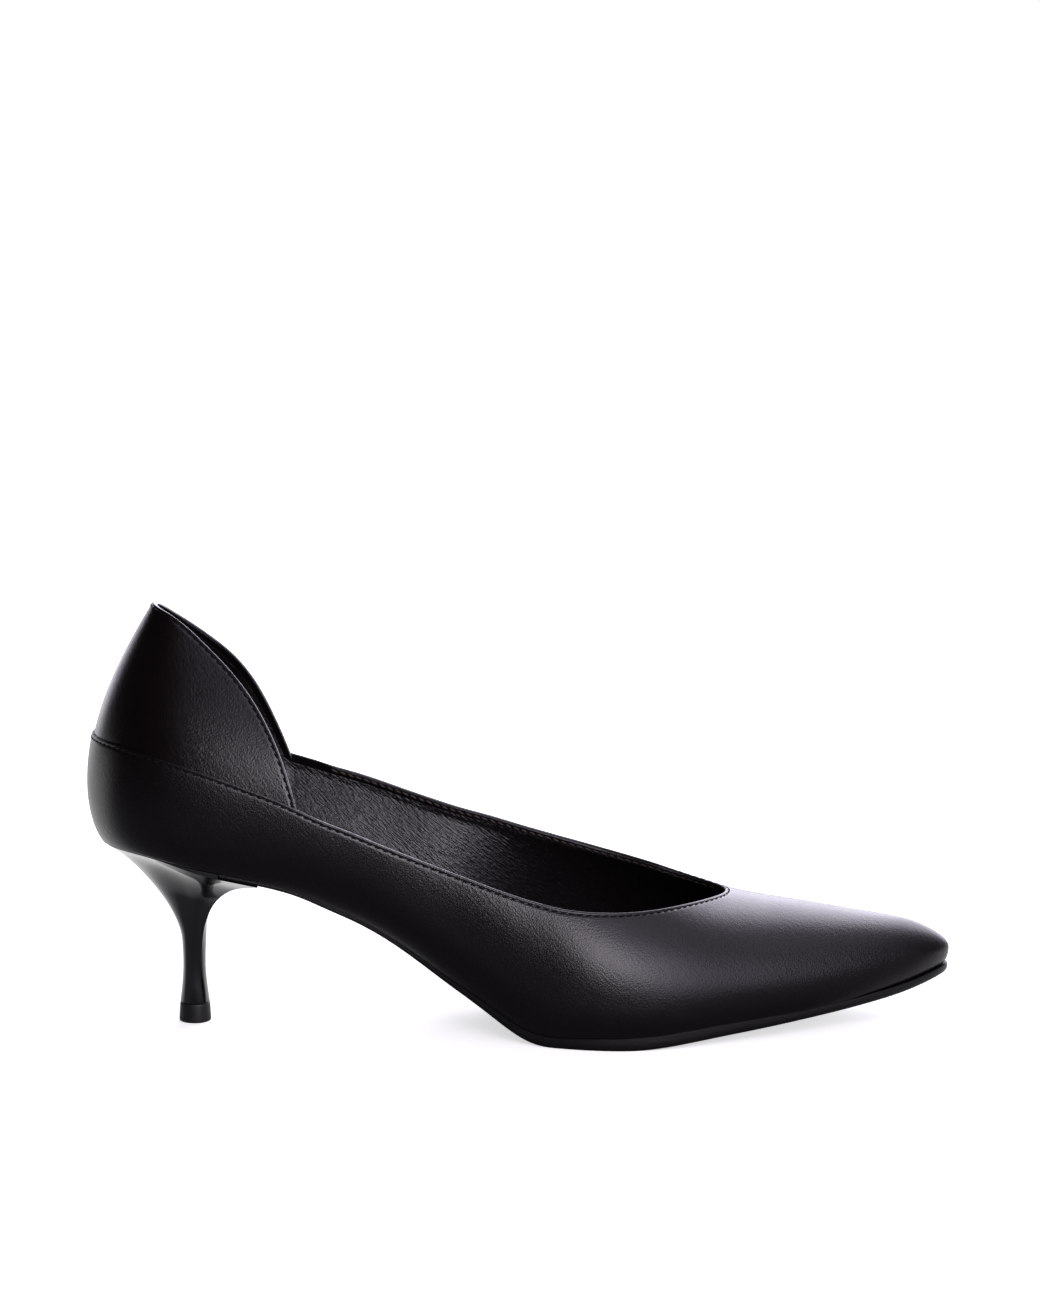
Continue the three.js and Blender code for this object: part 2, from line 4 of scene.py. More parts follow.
import bmesh
import bpy
import numpy as np
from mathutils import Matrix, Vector


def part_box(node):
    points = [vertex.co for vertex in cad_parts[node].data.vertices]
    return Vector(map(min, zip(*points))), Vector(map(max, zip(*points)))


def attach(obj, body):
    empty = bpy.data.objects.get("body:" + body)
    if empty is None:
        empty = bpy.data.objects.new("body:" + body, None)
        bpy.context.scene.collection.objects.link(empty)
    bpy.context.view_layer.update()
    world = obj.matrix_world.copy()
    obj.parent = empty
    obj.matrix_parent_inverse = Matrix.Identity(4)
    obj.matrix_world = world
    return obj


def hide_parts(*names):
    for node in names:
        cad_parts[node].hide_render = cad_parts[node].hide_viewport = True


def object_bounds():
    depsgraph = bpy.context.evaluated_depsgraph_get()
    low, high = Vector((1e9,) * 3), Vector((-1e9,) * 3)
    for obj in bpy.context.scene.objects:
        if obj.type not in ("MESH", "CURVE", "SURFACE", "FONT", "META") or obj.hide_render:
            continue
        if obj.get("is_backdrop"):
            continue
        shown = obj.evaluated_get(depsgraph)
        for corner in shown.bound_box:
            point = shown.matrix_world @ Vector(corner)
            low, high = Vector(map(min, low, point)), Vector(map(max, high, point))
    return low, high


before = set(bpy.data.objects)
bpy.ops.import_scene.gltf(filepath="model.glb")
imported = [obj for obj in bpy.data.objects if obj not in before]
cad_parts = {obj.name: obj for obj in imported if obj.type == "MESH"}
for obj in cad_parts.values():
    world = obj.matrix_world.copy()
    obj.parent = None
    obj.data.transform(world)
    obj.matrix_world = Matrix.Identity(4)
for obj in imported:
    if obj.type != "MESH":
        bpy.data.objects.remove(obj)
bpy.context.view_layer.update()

# Studio: a sweep of white paper that photographs white and has a painted glow, brightest behind the shoe,
# broad soft lights in front and on the toe side, a white reflector behind, and a dark room on the heel side.
floor_half = 30.0
floor_mesh = bpy.data.meshes.new("floor")
floor_mesh.from_pydata(
    [(x * floor_half, y * floor_half, 0.0) for x, y in ((-1, -1), (1, -1), (1, 1), (-1, 1))],
    [],
    [(0, 1, 2, 3)],
)
floor = bpy.data.objects.new("floor", floor_mesh)
bpy.context.scene.collection.objects.link(floor)
floor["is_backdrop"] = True


def lit_and_glowing_paper(name, whiteness, bounce, glow_near, glow_far, thrown_far):
    """White paper that is overexposed in the picture, and paler to the camera than in what it throws on the
    shoe. What it throws on the shoe is a painted glow: none in front, dimmed under the shoe as painted shade
    where the shoe's shadow falls, and strongest behind. Each kind of ray sees it glow along its own way from
    a start to an end."""
    material = bpy.data.materials.new(name)
    material.use_nodes = True
    nodes, links = material.node_tree.nodes, material.node_tree.links
    nodes.remove(nodes["Principled BSDF"])
    place = nodes.new("ShaderNodeTexCoord").outputs["Object"]
    either = nodes.new("ShaderNodeMixShader")
    links.new(nodes.new("ShaderNodeLightPath").outputs["Is Camera Ray"], either.inputs["Fac"])
    # The first side is the painted glow the shoe sees, with painted shade under the shoe; the second is what
    # the camera sees.
    sides = ((1, bounce, (0.05, 1, 0), -0.015, 0.035, 0.0, thrown_far),
             (2, whiteness, (0, 1, 0), 0.0, 0.5, glow_near, glow_far))
    for socket, white, way, start, end, near, far in sides:
        sheet, glow = nodes.new("ShaderNodeBsdfDiffuse"), nodes.new("ShaderNodeEmission")
        sheet.inputs["Color"].default_value = (white, white, white, 1)
        back = nodes.new("ShaderNodeMapRange")
        back.inputs["From Min"].default_value = start
        back.inputs["From Max"].default_value = end
        back.inputs["To Min"].default_value = near
        back.inputs["To Max"].default_value = far
        across = nodes.new("ShaderNodeVectorMath")
        across.operation = "DOT_PRODUCT"
        across.inputs[1].default_value = way
        links.new(place, across.inputs[0])
        links.new(across.outputs["Value"], back.inputs["Value"])
        links.new(back.outputs["Result"], glow.inputs["Strength"])
        both = nodes.new("ShaderNodeAddShader")
        links.new(sheet.outputs["BSDF"], both.inputs[0])
        links.new(glow.outputs["Emission"], both.inputs[1])
        links.new(both.outputs["Shader"], either.inputs[socket])
    links.new(either.outputs["Shader"], nodes["Material Output"].inputs["Surface"])
    return material


floor_mesh.materials.append(lit_and_glowing_paper("floor_paper", 0.9, 0.16, 0.62, 1.1, 1.15))

room = bpy.data.worlds.new("studio_room")
room.use_nodes = True
nodes, links = room.node_tree.nodes, room.node_tree.links
dim, white, either = nodes["Background"], nodes.new("ShaderNodeBackground"), nodes.new("ShaderNodeMixShader")
dim.inputs["Color"].default_value = (1.0, 0.95, 1.0, 1)
dim.inputs["Strength"].default_value = 0.03
white.inputs["Color"].default_value = (1.0, 1.0, 1.0, 1)
links.new(nodes.new("ShaderNodeLightPath").outputs["Is Camera Ray"], either.inputs["Fac"])
links.new(dim.outputs["Background"], either.inputs[1])
links.new(white.outputs["Background"], either.inputs[2])
links.new(either.outputs["Shader"], nodes["World Output"].inputs["Surface"])
bpy.context.scene.world = room
bpy.context.scene.view_settings.view_transform = "Standard"


def soft_light(name, aim, azimuth, elevation, distance, width, height, radiance, colour):
    """A rectangular soft light that faces a point, with the brightness of its face. The azimuth is 0 on the
    camera's side and grows towards the toe's side."""
    lamp = bpy.data.lights.new(name, "AREA")
    lamp.shape = "RECTANGLE"
    lamp.size, lamp.size_y = width, height
    lamp.energy = radiance * width * height * math.pi
    lamp.color = colour
    holder = bpy.data.objects.new(name, lamp)
    turn, rise = math.radians(azimuth), math.radians(elevation)
    way = Vector((math.sin(turn) * math.cos(rise), -math.cos(turn) * math.cos(rise), math.sin(rise)))
    holder.location = way * distance + Vector(aim)
    holder.rotation_euler = way.to_track_quat("Z", "Y").to_euler()
    holder.visible_camera = False
    bpy.context.scene.collection.objects.link(holder)


key_white, side_white, back_white = (1.0, 0.94, 1.03), (0.97, 0.93, 1.12), (0.97, 0.93, 1.08)
shoe, vamp_side = (0, 0, 0.05), (0.03, -0.035, 0.045)
soft_light("key_light", vamp_side, 5, 23, 0.30, 0.165, 0.145, 6.4, key_white)
soft_light("key_side_light", shoe, 34, 23, 1.6, 0.9, 1.25, 2.2, side_white)
soft_light("fill_light", shoe, 48, 56, 1.3, 0.9, 0.8, 0.9, side_white)
soft_light("top_light", shoe, 120, 62, 1.2, 1.0, 0.8, 0.5, side_white)
soft_light("back_reflector", shoe, 162, 26, 1.3, 1.3, 1.15, 4.2, back_white)
soft_light("back_side_reflector", shoe, 124, 16, 1.3, 0.6, 0.8, 0.7, back_white)
soft_light("heel_reflector", shoe, -150, 8, 1.3, 0.9, 0.5, 1.6, back_white)

sight_length, half_frame = 4218.75, 650
camera_data = bpy.data.cameras.new("camera")
camera_data.lens = camera_data.sensor_width / 2 * sight_length / half_frame
camera = bpy.data.objects.new("camera", camera_data)
camera.location = (-0.00035, -1.23156, 0.32127)
camera.rotation_euler = (math.radians(80.4), 0, 0)
bpy.context.scene.collection.objects.link(camera)
bpy.context.scene.camera = camera

# Insole board with its leather sock, the base of the shoe: cut to the bottom of the last and lying on it.
# Its shape comes from the last, so the last's measures and its surface are written down here, in millimetres
# from the back of the heel, with X to the toe and the outer side of the foot at -Y.
METRE = 0.001
SHOE_LENGTH = 258.0
TREAD_WIDTH = 72.0
HEEL_HEIGHT = 55.0
TOE_SPRING = 14.0
CROWN_HEIGHT = 97.0
TOE_SWING = 6.4
HEEL_OVERHANG = 5.0
FEATHER_ANGLE = 62.0
SOLE_THICKNESS = 4.2
HEEL_FAN, TOE_FAN = 0.117 * SHOE_LENGTH, 0.943 * SHOE_LENGTH
FAN_EASE = 2.9
STEM_SETBACK = 31.9

# along, outer half, inner half, outer overhang, inner overhang, bulge, lean
SECTIONS = np.array([
    (0.0194, 0, 0, 0.86, 0.86, 0.18, 3.4),
    (0.0275, 0.14, 0.14, 0.88, 0.88, 0.18, 3.4),
    (0.0525, 0.258, 0.258, 0.94, 0.94, 0.181, 3.4),
    (0.0935, 0.33, 0.327, 0.98, 1, 0.184, 3.45),
    (0.148, 0.346, 0.34, 1, 1.06, 0.186, 3.3),
    (0.214, 0.334, 0.318, 1.14, 1.3, 0.186, 2.5),
    (0.28, 0.318, 0.286, 1.34, 1.62, 0.184, 1.65),
    (0.346, 0.31, 0.262, 1.5, 1.9, 0.179, 1.3),
    (0.412, 0.33, 0.256, 1.42, 1.86, 0.169, 1.2),
    (0.479, 0.396, 0.31, 1.1, 1.5, 0.149, 1.14),
    (0.545, 0.48, 0.402, 0.78, 1.02, 0.124, 1.08),
    (0.605, 0.524, 0.472, 0.58, 0.7, 0.105, 1.04),
    (0.67, 0.503, 0.5, 0.5, 0.54, 0.096, 1),
    (0.737, 0.424, 0.472, 0.45, 0.45, 0.089, 1),
    (0.805, 0.327, 0.413, 0.41, 0.41, 0.082, 1),
    (0.873, 0.216, 0.338, 0.38, 0.38, 0.074, 1),
    (0.93, 0.111, 0.256, 0.36, 0.36, 0.064, 1),
    (0.9715, 0.014, 0.194, 0.35, 0.35, 0.053, 1),
    (0.9975, -0.089, 0.089, 0.34, 0.34, 0.049, 1),
])
# along, rise of the underside, toe spring, gauge of the sole, crown over the bottom
PROFILE = np.array([
    (0, 0.99, 0, 0.33, 1), (0.04, 0.998, 0, 0.33, 1), (0.08, 0.976, 0, 0.33, 1),
    (0.12, 0.932, 0, 0.33, 0.99), (0.16, 0.889, 0, 0.33, 0.955), (0.2, 0.847, 0, 0.33, 0.9),
    (0.25, 0.779, 0, 0.34, 0.83), (0.28, 0.713, 0, 0.35, 0.795), (0.32, 0.624, 0, 0.37, 0.76),
    (0.37, 0.477, 0, 0.42, 0.742), (0.42, 0.304, 0, 0.54, 0.741), (0.46, 0.176, 0, 0.68, 0.738),
    (0.49, 0.076, 0, 0.8, 0.729), (0.515, 0.015, 0, 0.86, 0.705), (0.54, 0, 0, 0.86, 0.661),
    (0.57, 0, 0, 0.9, 0.599), (0.6, 0, 0, 0.95, 0.542), (0.63, 0, 0, 1, 0.491),
    (0.66, 0, 0.036, 0.99, 0.444), (0.7, 0, 0.121, 0.96, 0.386), (0.74, 0, 0.204, 0.91, 0.34),
    (0.78, 0, 0.279, 0.84, 0.308), (0.82, 0, 0.362, 0.72, 0.284), (0.86, 0, 0.455, 0.67, 0.2543),
    (0.91, 0, 0.6, 0.67, 0.2113), (0.955, 0, 0.765, 0.64, 0.1683), (1, 0, 1.01, 0.58, 0.112),
])


def fair_curve(stations, values, ease=0.0):
    """The smooth curve of a batten bent along a table's values. With some ease it irons out small bumps."""
    x, y = np.asarray(stations, float), np.asarray(values, float)
    gap = np.diff(x)
    count = len(x) - 2
    pull, bend = np.zeros((len(x), count)), np.zeros((count, count))
    for i in range(count):
        pull[i : i + 3, i] = 1 / gap[i], -1 / gap[i] - 1 / gap[i + 1], 1 / gap[i + 1]
        bend[i, i] = (gap[i] + gap[i + 1]) / 3
        if i + 1 < count:
            bend[i, i + 1] = bend[i + 1, i] = gap[i + 1] / 6
    curl = np.linalg.solve(bend + ease * pull.T @ pull, pull.T @ y)
    held = y - ease * pull @ curl
    curl = np.concatenate([[0], curl, [0]])
    first = (held[1] - held[0]) / gap[0] - gap[0] / 6 * curl[1]
    last = (held[-1] - held[-2]) / gap[-1] + gap[-1] / 6 * curl[-2]

    def at(s):
        s = np.asarray(s, float)
        i = np.clip(np.searchsorted(x, s) - 1, 0, len(x) - 2)
        t = (np.clip(s, x[0], x[-1]) - x[i]) / gap[i]
        rest = 1 - t
        inside = rest * held[i] + t * held[i + 1]
        inside = inside + gap[i] ** 2 / 6 * ((rest**3 - rest) * curl[i] + (t**3 - t) * curl[i + 1])
        return inside + np.minimum(s - x[0], 0) * first + np.maximum(s - x[-1], 0) * last

    return at


rise_at, spring_at, gauge_at, crown_at = (
    fair_curve(PROFILE[:, 0], PROFILE[:, k], 4e-7) for k in (1, 2, 3, 4)
)


def tread_z(x):
    """Height of the sole's underside."""
    share = x / SHOE_LENGTH
    return np.maximum(0, HEEL_HEIGHT * rise_at(share) + TOE_SPRING * spring_at(share))


def feather_z(x):
    """Height of the feather edge, where the upper meets the sole."""
    share = x / SHOE_LENGTH
    return HEEL_HEIGHT * rise_at(share) + TOE_SPRING * spring_at(share) + SOLE_THICKNESS * gauge_at(share)


def crown_z(x):
    return feather_z(x) + CROWN_HEIGHT * crown_at(x / SHOE_LENGTH)


def smooth_step(x, low, high):
    t = np.clip((x - low) / (high - low), 0, 1)
    return t * t * (3 - 2 * t)


def spine_xy(x):
    """The plan line that the sections turn about. It ends inside the heel and inside the toe."""
    held = HEEL_FAN + FAN_EASE * np.logaddexp(0, (x - HEEL_FAN) / FAN_EASE)
    held = TOE_FAN - FAN_EASE * np.logaddexp(0, (TOE_FAN - held) / FAN_EASE)
    return held, TOE_SWING * smooth_step(held / SHOE_LENGTH, 0.45, 1.0)


# The sections form a loop: the outer side from heel to toe, then the inner side back to the heel.
TIP = len(SECTIONS) - 1


def loop_curve(outer, inner, ease):
    ring = np.concatenate([outer, inner[1:-1][::-1]])
    margin = 8
    padded = np.concatenate([ring[-margin:], ring, ring[:margin]])
    return fair_curve(np.arange(-margin, len(ring) + margin), padded, ease)


along_at = loop_curve(SECTIONS[:, 0], SECTIONS[:, 0], 0.01)
half_at = loop_curve(-SECTIONS[:, 1], SECTIONS[:, 2], 0.01)
over_at = loop_curve(SECTIONS[:, 3], SECTIONS[:, 4], 0.05)
bulge_at = loop_curve(SECTIONS[:, 5], SECTIONS[:, 5], 0.05)
lean_at = loop_curve(SECTIONS[:, 6], SECTIONS[:, 6], 0.05)


def last_point(place, degrees):
    """A point of the last. A place runs along the loop of sections, and the degrees are -FEATHER_ANGLE at
    the bottom edge, 0 at the widest height and 90 on the ridge."""
    place, degrees = np.broadcast_arrays(np.asarray(place, float), np.asarray(degrees, float))
    foot_x, foot_y = along_at(place) * SHOE_LENGTH, half_at(place) * TREAD_WIDTH
    spine_x, spine_y = spine_xy(foot_x)
    out_x, out_y = foot_x - spine_x, foot_y - spine_y
    reach = np.hypot(out_x, out_y)
    widest = reach + over_at(place) * HEEL_OVERHANG
    low = feather_z(foot_x)
    waist = low + bulge_at(place) * CROWN_HEIGHT
    angle, start = np.radians(degrees), math.radians(FEATHER_ANGLE)
    below = widest - (widest - reach) * (1 - np.cos(angle)) / (1 - math.cos(start))
    above = widest * np.clip(np.cos(angle), 0, 1) ** lean_at(place)
    radius = np.where(degrees < 0, below, np.where(degrees >= 90, 0, above))
    x, y = spine_x + out_x / reach * radius, spine_y + out_y / reach * radius
    z_below = waist + (waist - low) * np.sin(angle) / math.sin(start)
    z_above = waist + (crown_z(x) - waist) * np.sin(np.minimum(angle, math.pi / 2))
    return np.stack([x, y, np.where(degrees < 0, z_below, z_above)], -1)


def unit(v):
    return v / np.linalg.norm(v, axis=-1, keepdims=True)


NEAR_RIDGE = 89.4


def slopes(place, degrees):
    """How a point of the last moves with its place and with its degrees."""
    tilt = np.minimum(degrees, NEAR_RIDGE)
    along = (last_point(place + 0.02, tilt) - last_point(place - 0.02, tilt)) / 0.04
    up = last_point(place, tilt + 0.5) - last_point(place, tilt - 0.5)
    return along, up


def last_normal(place, degrees):
    """Outward direction of the last's surface."""
    place, degrees = np.broadcast_arrays(np.asarray(place, float), np.asarray(degrees, float))
    side = unit(np.cross(*slopes(place, degrees)))
    x = spine_xy(along_at(place) * SHOE_LENGTH)[0]
    pitch = (crown_z(x + 0.05) - crown_z(x - 0.05)) / 0.1
    ridge = unit(np.stack([-pitch, 0 * pitch, 1 + 0 * pitch], -1))
    share = smooth_step(degrees, 88.0, 90.0)[..., None]
    return unit(side * (1 - share) + ridge * share)


def wall_point(place, degrees, depth):
    """A point at a depth below the last's outer surface."""
    inner = last_point(place, degrees) - last_normal(place, degrees) * np.asarray(depth)[..., None]
    bottom = np.broadcast_to(np.asarray(degrees, float) <= -FEATHER_ANGLE, inner.shape[:-1])
    inner[..., 2] = np.where(bottom, feather_z(inner[..., 0]), inner[..., 2])
    return inner


def place_at(x):
    """Place on the outer side where the outline reaches a distance along the shoe."""
    places = np.linspace(0, TIP, 4000)
    return float(np.interp(x, along_at(places) * SHOE_LENGTH, places))


plug_low, plug_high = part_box("top_piece")
shift = np.array([(plug_low.x + plug_high.x) / 2, (plug_low.y + plug_high.y) / 2, 0]) / METRE
shift -= (STEM_SETBACK, 0, 0)


class Skin:
    """Rows of points, joined by faces into one closed mesh."""

    def __init__(self):
        self.points, self.faces, self.count = [], [], 0

    def add(self, grid, ring=False, flip=False):
        """Faces over rows of points. They look to the right of the way from the first row to the last."""
        rows, columns = grid.shape[:2]
        index = np.arange(rows * columns).reshape(rows, columns) + self.count
        if ring:
            index = np.concatenate([index, index[:, :1]], 1)
        a, b, c, d = index[:-1, :-1], index[:-1, 1:], index[1:, 1:], index[1:, :-1]
        quads = np.stack([a, d, c, b] if flip else [a, b, c, d], -1)
        self.faces.append(quads.reshape(-1, 4))
        self.points.append(grid.reshape(-1, 3))
        self.count += rows * columns

    def fan(self, loop, flip=False):
        """Faces from the middle of a loop of points to its edge."""
        middle = np.repeat(loop.mean(0)[None], len(loop), 0)
        self.add(np.stack([middle, loop]), ring=True, flip=flip)

    def piece(self, name, material, replaced=(), weld=2e-3, sharp=50):
        """The mesh as a piece of the shoe, in metres in the shared frame."""
        points = (np.concatenate(self.points) + shift) * METRE
        mesh = bpy.data.meshes.new(name)
        mesh.from_pydata(points.tolist(), [], np.concatenate(self.faces).tolist())
        work = bmesh.new()
        work.from_mesh(mesh)
        bmesh.ops.remove_doubles(work, verts=work.verts, dist=weld * METRE)
        bmesh.ops.dissolve_degenerate(work, edges=work.edges, dist=1e-7)
        work.to_mesh(mesh)
        work.free()
        mesh.shade_smooth()
        mesh.set_sharp_from_angle(angle=math.radians(sharp))
        mesh.materials.append(material)
        made = bpy.data.objects.new(name, mesh)
        bpy.context.scene.collection.objects.link(made)
        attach(made, "root")
        if replaced:
            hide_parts(*replaced)
        return made


WALL, STIFFENER = 2.2, 0.7


def wall_depth_at(x):
    """Depth of the lining's inner face. Round the heel a stiffener makes the wall thicker."""
    return WALL + STIFFENER - STIFFENER * smooth_step(x / SHOE_LENGTH, 0.3, 0.5)


def outline(places, inset):
    """The bottom's outline moved inwards, as outer and inner points at the same distance along."""
    sides = []
    for spot in (places, 2 * TIP - places):
        x, y = along_at(spot) * SHOE_LENGTH, half_at(spot) * TREAD_WIDTH
        dx = (along_at(spot + 0.01) - along_at(spot - 0.01)) * SHOE_LENGTH
        dy = (half_at(spot + 0.01) - half_at(spot - 0.01)) * TREAD_WIDTH
        scale = (inset(x) if callable(inset) else inset) / np.hypot(dx, dy)
        sides.append(np.stack([x - dy * scale, y + dx * scale], -1))
    return sides


def bottom_sheet(skin, places, layers, across):
    """A closed sheet along the bottom of the last: rings at given insets and heights, from low to high."""
    rings, covers = [], []
    for inset, height in layers:
        outer, inner = outline(places, inset)
        lift = [np.column_stack([p, height(p[:, 0])]) for p in (outer, inner)]
        rings.append(np.concatenate([lift[0], lift[1][::-1]]))
        share = np.linspace(0, 1, across + 1)[:, None, None]
        covers.append(lift[0][None] * (1 - share) + lift[1][None] * share)
        covers[-1][..., 2] = height(covers[-1][..., 0])
    skin.add(np.stack(rings), ring=True)
    skin.add(covers[0][::-1])
    skin.add(covers[-1])


def end_places(start, count):
    """Places from one to the toe tip, closer together at both ends."""
    even = np.linspace(0, 1, count + 1)
    eased = (1 - np.cos(math.pi * even)) / 2
    return start + (TIP - start) * (even + eased) / 2


HAZE_SCALE, HAZE_DEPTH, NAP_SCALE = 26.0, 0.12, 900.0
CREASE_STRETCH = (0.16, 0.4, 1.0)


def leather(name, colour, roughness, grain_size, grain_depth, crease_depth, crease_turn=0.0, crease_gap=2.2):
    """Finished leather: fine pebbled grain, faint broad unevenness in gloss, and soft creases that run at
    an angle to the length of the shoe. Sizes are in millimetres."""
    material = bpy.data.materials.new(name)
    material.use_nodes = True
    nodes, links = material.node_tree.nodes, material.node_tree.links
    shader = nodes["Principled BSDF"]
    place = nodes.new("ShaderNodeTexCoord").outputs["Object"]
    turned = nodes.new("ShaderNodeMapping")
    turned.inputs["Rotation"].default_value = (0, math.radians(crease_turn), 0)
    stretched = nodes.new("ShaderNodeMapping")
    stretched.inputs["Scale"].default_value = CREASE_STRETCH
    links.new(place, turned.inputs["Vector"])
    links.new(turned.outputs["Vector"], stretched.inputs["Vector"])
    grain = nodes.new("ShaderNodeTexVoronoi")
    grain.feature = "F1"
    haze, nap, lines = (nodes.new("ShaderNodeTexNoise") for _ in range(3))
    textures = ((grain, 1 / (grain_size * METRE), place), (haze, HAZE_SCALE, place), (nap, NAP_SCALE, place),
                (lines, 1 / (crease_gap * METRE), stretched.outputs["Vector"]))
    for texture, scale, vector in textures:
        texture.inputs["Scale"].default_value = scale
        links.new(vector, texture.inputs["Vector"])
    haze.inputs["Detail"].default_value = 5.0
    nap.inputs["Detail"].default_value = 3.0
    lines.inputs["Detail"].default_value = 2.5
    gloss = nodes.new("ShaderNodeMapRange")
    gloss.inputs["From Min"].default_value = 0.3
    gloss.inputs["From Max"].default_value = 0.7
    gloss.inputs["To Min"].default_value = roughness - 0.04
    gloss.inputs["To Max"].default_value = roughness + 0.05
    links.new(haze.outputs["Fac"], gloss.inputs["Value"])
    links.new(gloss.outputs["Result"], shader.inputs["Roughness"])
    tint = nodes.new("ShaderNodeValToRGB")
    for element, position, share in zip(tint.color_ramp.elements, (0.35, 0.7), (0.8, 1.25)):
        element.position = position
        element.color = (*[c * share for c in colour], 1)
    links.new(nap.outputs["Fac"], tint.inputs["Fac"])
    links.new(tint.outputs["Color"], shader.inputs["Base Color"])
    normal = None
    reliefs = ((haze.outputs["Fac"], HAZE_DEPTH), (lines.outputs["Fac"], crease_depth),
               (grain.outputs["Distance"], grain_depth))
    for height, depth in reliefs:
        bump = nodes.new("ShaderNodeBump")
        bump.inputs["Strength"].default_value = 1.0
        bump.inputs["Distance"].default_value = depth * METRE
        links.new(height, bump.inputs["Height"])
        if normal:
            links.new(normal, bump.inputs["Normal"])
        normal = bump.outputs["Normal"]
    links.new(normal, shader.inputs["Normal"])
    return material


sock_leather = leather("sock_leather", (0.012, 0.011, 0.011), 0.5, 0.8, 0.03, 0.1)
sock = Skin()
bottom_sheet(
    sock,
    end_places(0, 160),
    [
        (lambda x: 0.8 * wall_depth_at(x) + 0.3, lambda x: feather_z(x) + 0.1),
        (lambda x: 0.7 * wall_depth_at(x) + 0.1, lambda x: feather_z(x) + 1.4),
        (lambda x: 0.7 * wall_depth_at(x) + 0.5, lambda x: feather_z(x) + 1.9),
    ],
    24,
)
sock.piece("sock", sock_leather, ["insole"])

# Lines of the upper: the edge of the back panel, and the top edge of the quarters with the throat.
# Both are shares of the last's crown along the shoe, on the outer and on the inner side.
PANEL_EDGE = np.array([
    (0, 0.77, 0.77), (0.075, 0.755, 0.755), (0.0835, 0.748, 0.744), (0.1, 0.745, 0.722),
    (0.118, 0.731, 0.705), (0.147, 0.697, 0.678), (0.1765, 0.659, 0.64), (0.2, 0.613, 0.57),
    (0.215, 0.563, 0.488), (0.226, 0.513, 0.42), (0.2355, 0.462, 0.35), (0.244, 0.39, 0.28),
    (0.2515, 0.31, 0.22), (0.265, 0.15, 0.1),
])
TOP_EDGE = np.array([
    (0, 0.336, 0.336), (0.0136, 0.336, 0.336), (0.034, 0.333, 0.337), (0.062, 0.325, 0.334),
    (0.121, 0.32, 0.337), (0.178, 0.321, 0.349), (0.236, 0.326, 0.372), (0.267, 0.333, 0.402),
    (0.302, 0.354, 0.442), (0.341, 0.38, 0.486), (0.376, 0.415, 0.531), (0.411, 0.455, 0.58),
    (0.442, 0.486, 0.619), (0.471, 0.517, 0.661), (0.496, 0.552, 0.7), (0.521, 0.585, 0.739),
    (0.547, 0.612, 0.771), (0.57, 0.643, 0.801), (0.593, 0.681, 0.832), (0.616, 0.724, 0.865),
    (0.64, 0.774, 0.899), (0.663, 0.826, 0.929), (0.686, 0.881, 0.948), (0.709, 0.935, 0.968),
    (0.734, 0.988, 0.992), (0.741, 1, 1),
])
THROAT = TOP_EDGE[-1, 0] * SHOE_LENGTH
top_edge_at = [fair_curve(TOP_EDGE[:, 0], TOP_EDGE[:, k], 2e-7) for k in (1, 2)]
panel_edge_at = [fair_curve(PANEL_EDGE[:, 0], PANEL_EDGE[:, k], 2e-7) for k in (1, 2)]


def degrees_at(places, share_at):
    """The degrees at which each place reaches the share of the crown that the table gives there."""
    under = np.full(places.shape, -FEATHER_ANGLE)
    over = np.full(places.shape, 90 - 1e-6)

    def excess(degrees):
        point = last_point(places, degrees)
        low = feather_z(point[..., 0])
        return (point[..., 2] - low) / (crown_z(point[..., 0]) - low) - share_at(point[..., 0] / SHOE_LENGTH)

    shut = excess(over) < 0
    for _ in range(40):
        middle = (under + over) / 2
        short = excess(middle) < 0
        under, over = np.where(short, middle, under), np.where(short, over, middle)
    return np.where(shut, 90, (under + over) / 2)


def lowered(places, degrees, distance):
    """A line on the last moved over its surface, square to itself and away from the opening."""
    points, normals = last_point(places, degrees), last_normal(places, degrees)
    down = unit(np.cross(unit(np.gradient(points, axis=0)), normals)) * distance
    along, up = slopes(places, degrees)
    aa, uu, au = (along * along).sum(-1), (up * up).sum(-1), (along * up).sum(-1)
    da, du = (down * along).sum(-1), (down * up).sum(-1)
    det = aa * uu - au * au
    return places + (da * uu - du * au) / det, degrees + (du * aa - da * au) / det


def side_line(side, share_at, end, count=600):
    """Places and degrees of an edge on one side, from the heel back forwards, closer together at its end."""
    left = 1 - np.linspace(0, 1, count)
    places = end * (1 - left * (0.1 + 0.9 * left))
    spots = places if side == 0 else 2 * TIP - places
    return spots, degrees_at(spots, share_at)


throat_place = place_at(THROAT)
panel_end = place_at(0.262 * SHOE_LENGTH)
top_lines = [side_line(side, top_edge_at[side], throat_place) for side in (0, 1)]
panel_lines = [side_line(side, panel_edge_at[side], panel_end) for side in (0, 1)]


def even_run(points, normals, pitch, closed=False):
    """A line resampled at even steps."""
    if closed:
        points, normals = np.concatenate([points, points[:1]]), np.concatenate([normals, normals[:1]])
    run = np.concatenate([[0], np.cumsum(np.linalg.norm(np.diff(points, axis=0), axis=1))])
    count = max(2, round(run[-1] / pitch))
    marks = np.linspace(0, run[-1], count + 1)[: -1 if closed else None]
    pick = lambda values: np.stack([np.interp(marks, run, values[:, k]) for k in range(3)], -1)
    return pick(points), unit(pick(normals))


def both_sides(lines, lower=0.0):
    """The line of both sides as one run, from the outer heel back to the toe end and home inside."""
    runs = []
    for side, (places, degrees) in enumerate(lines):
        if lower:
            along = 1 if side == 0 else -1
            if along < 0:
                places, degrees = places[::-1], degrees[::-1]
            places, degrees = lowered(places, degrees, lower)
            if along < 0:
                places, degrees = places[::-1], degrees[::-1]
        runs.append((last_point(places, degrees), last_normal(places, degrees)))
    (outer, outer_out), (inner, inner_out) = runs
    return np.concatenate([outer, inner[::-1][1:-1]]), np.concatenate([outer_out, inner_out[::-1][1:-1]])


top_run, top_out = even_run(*both_sides(top_lines), 0.4, closed=True)

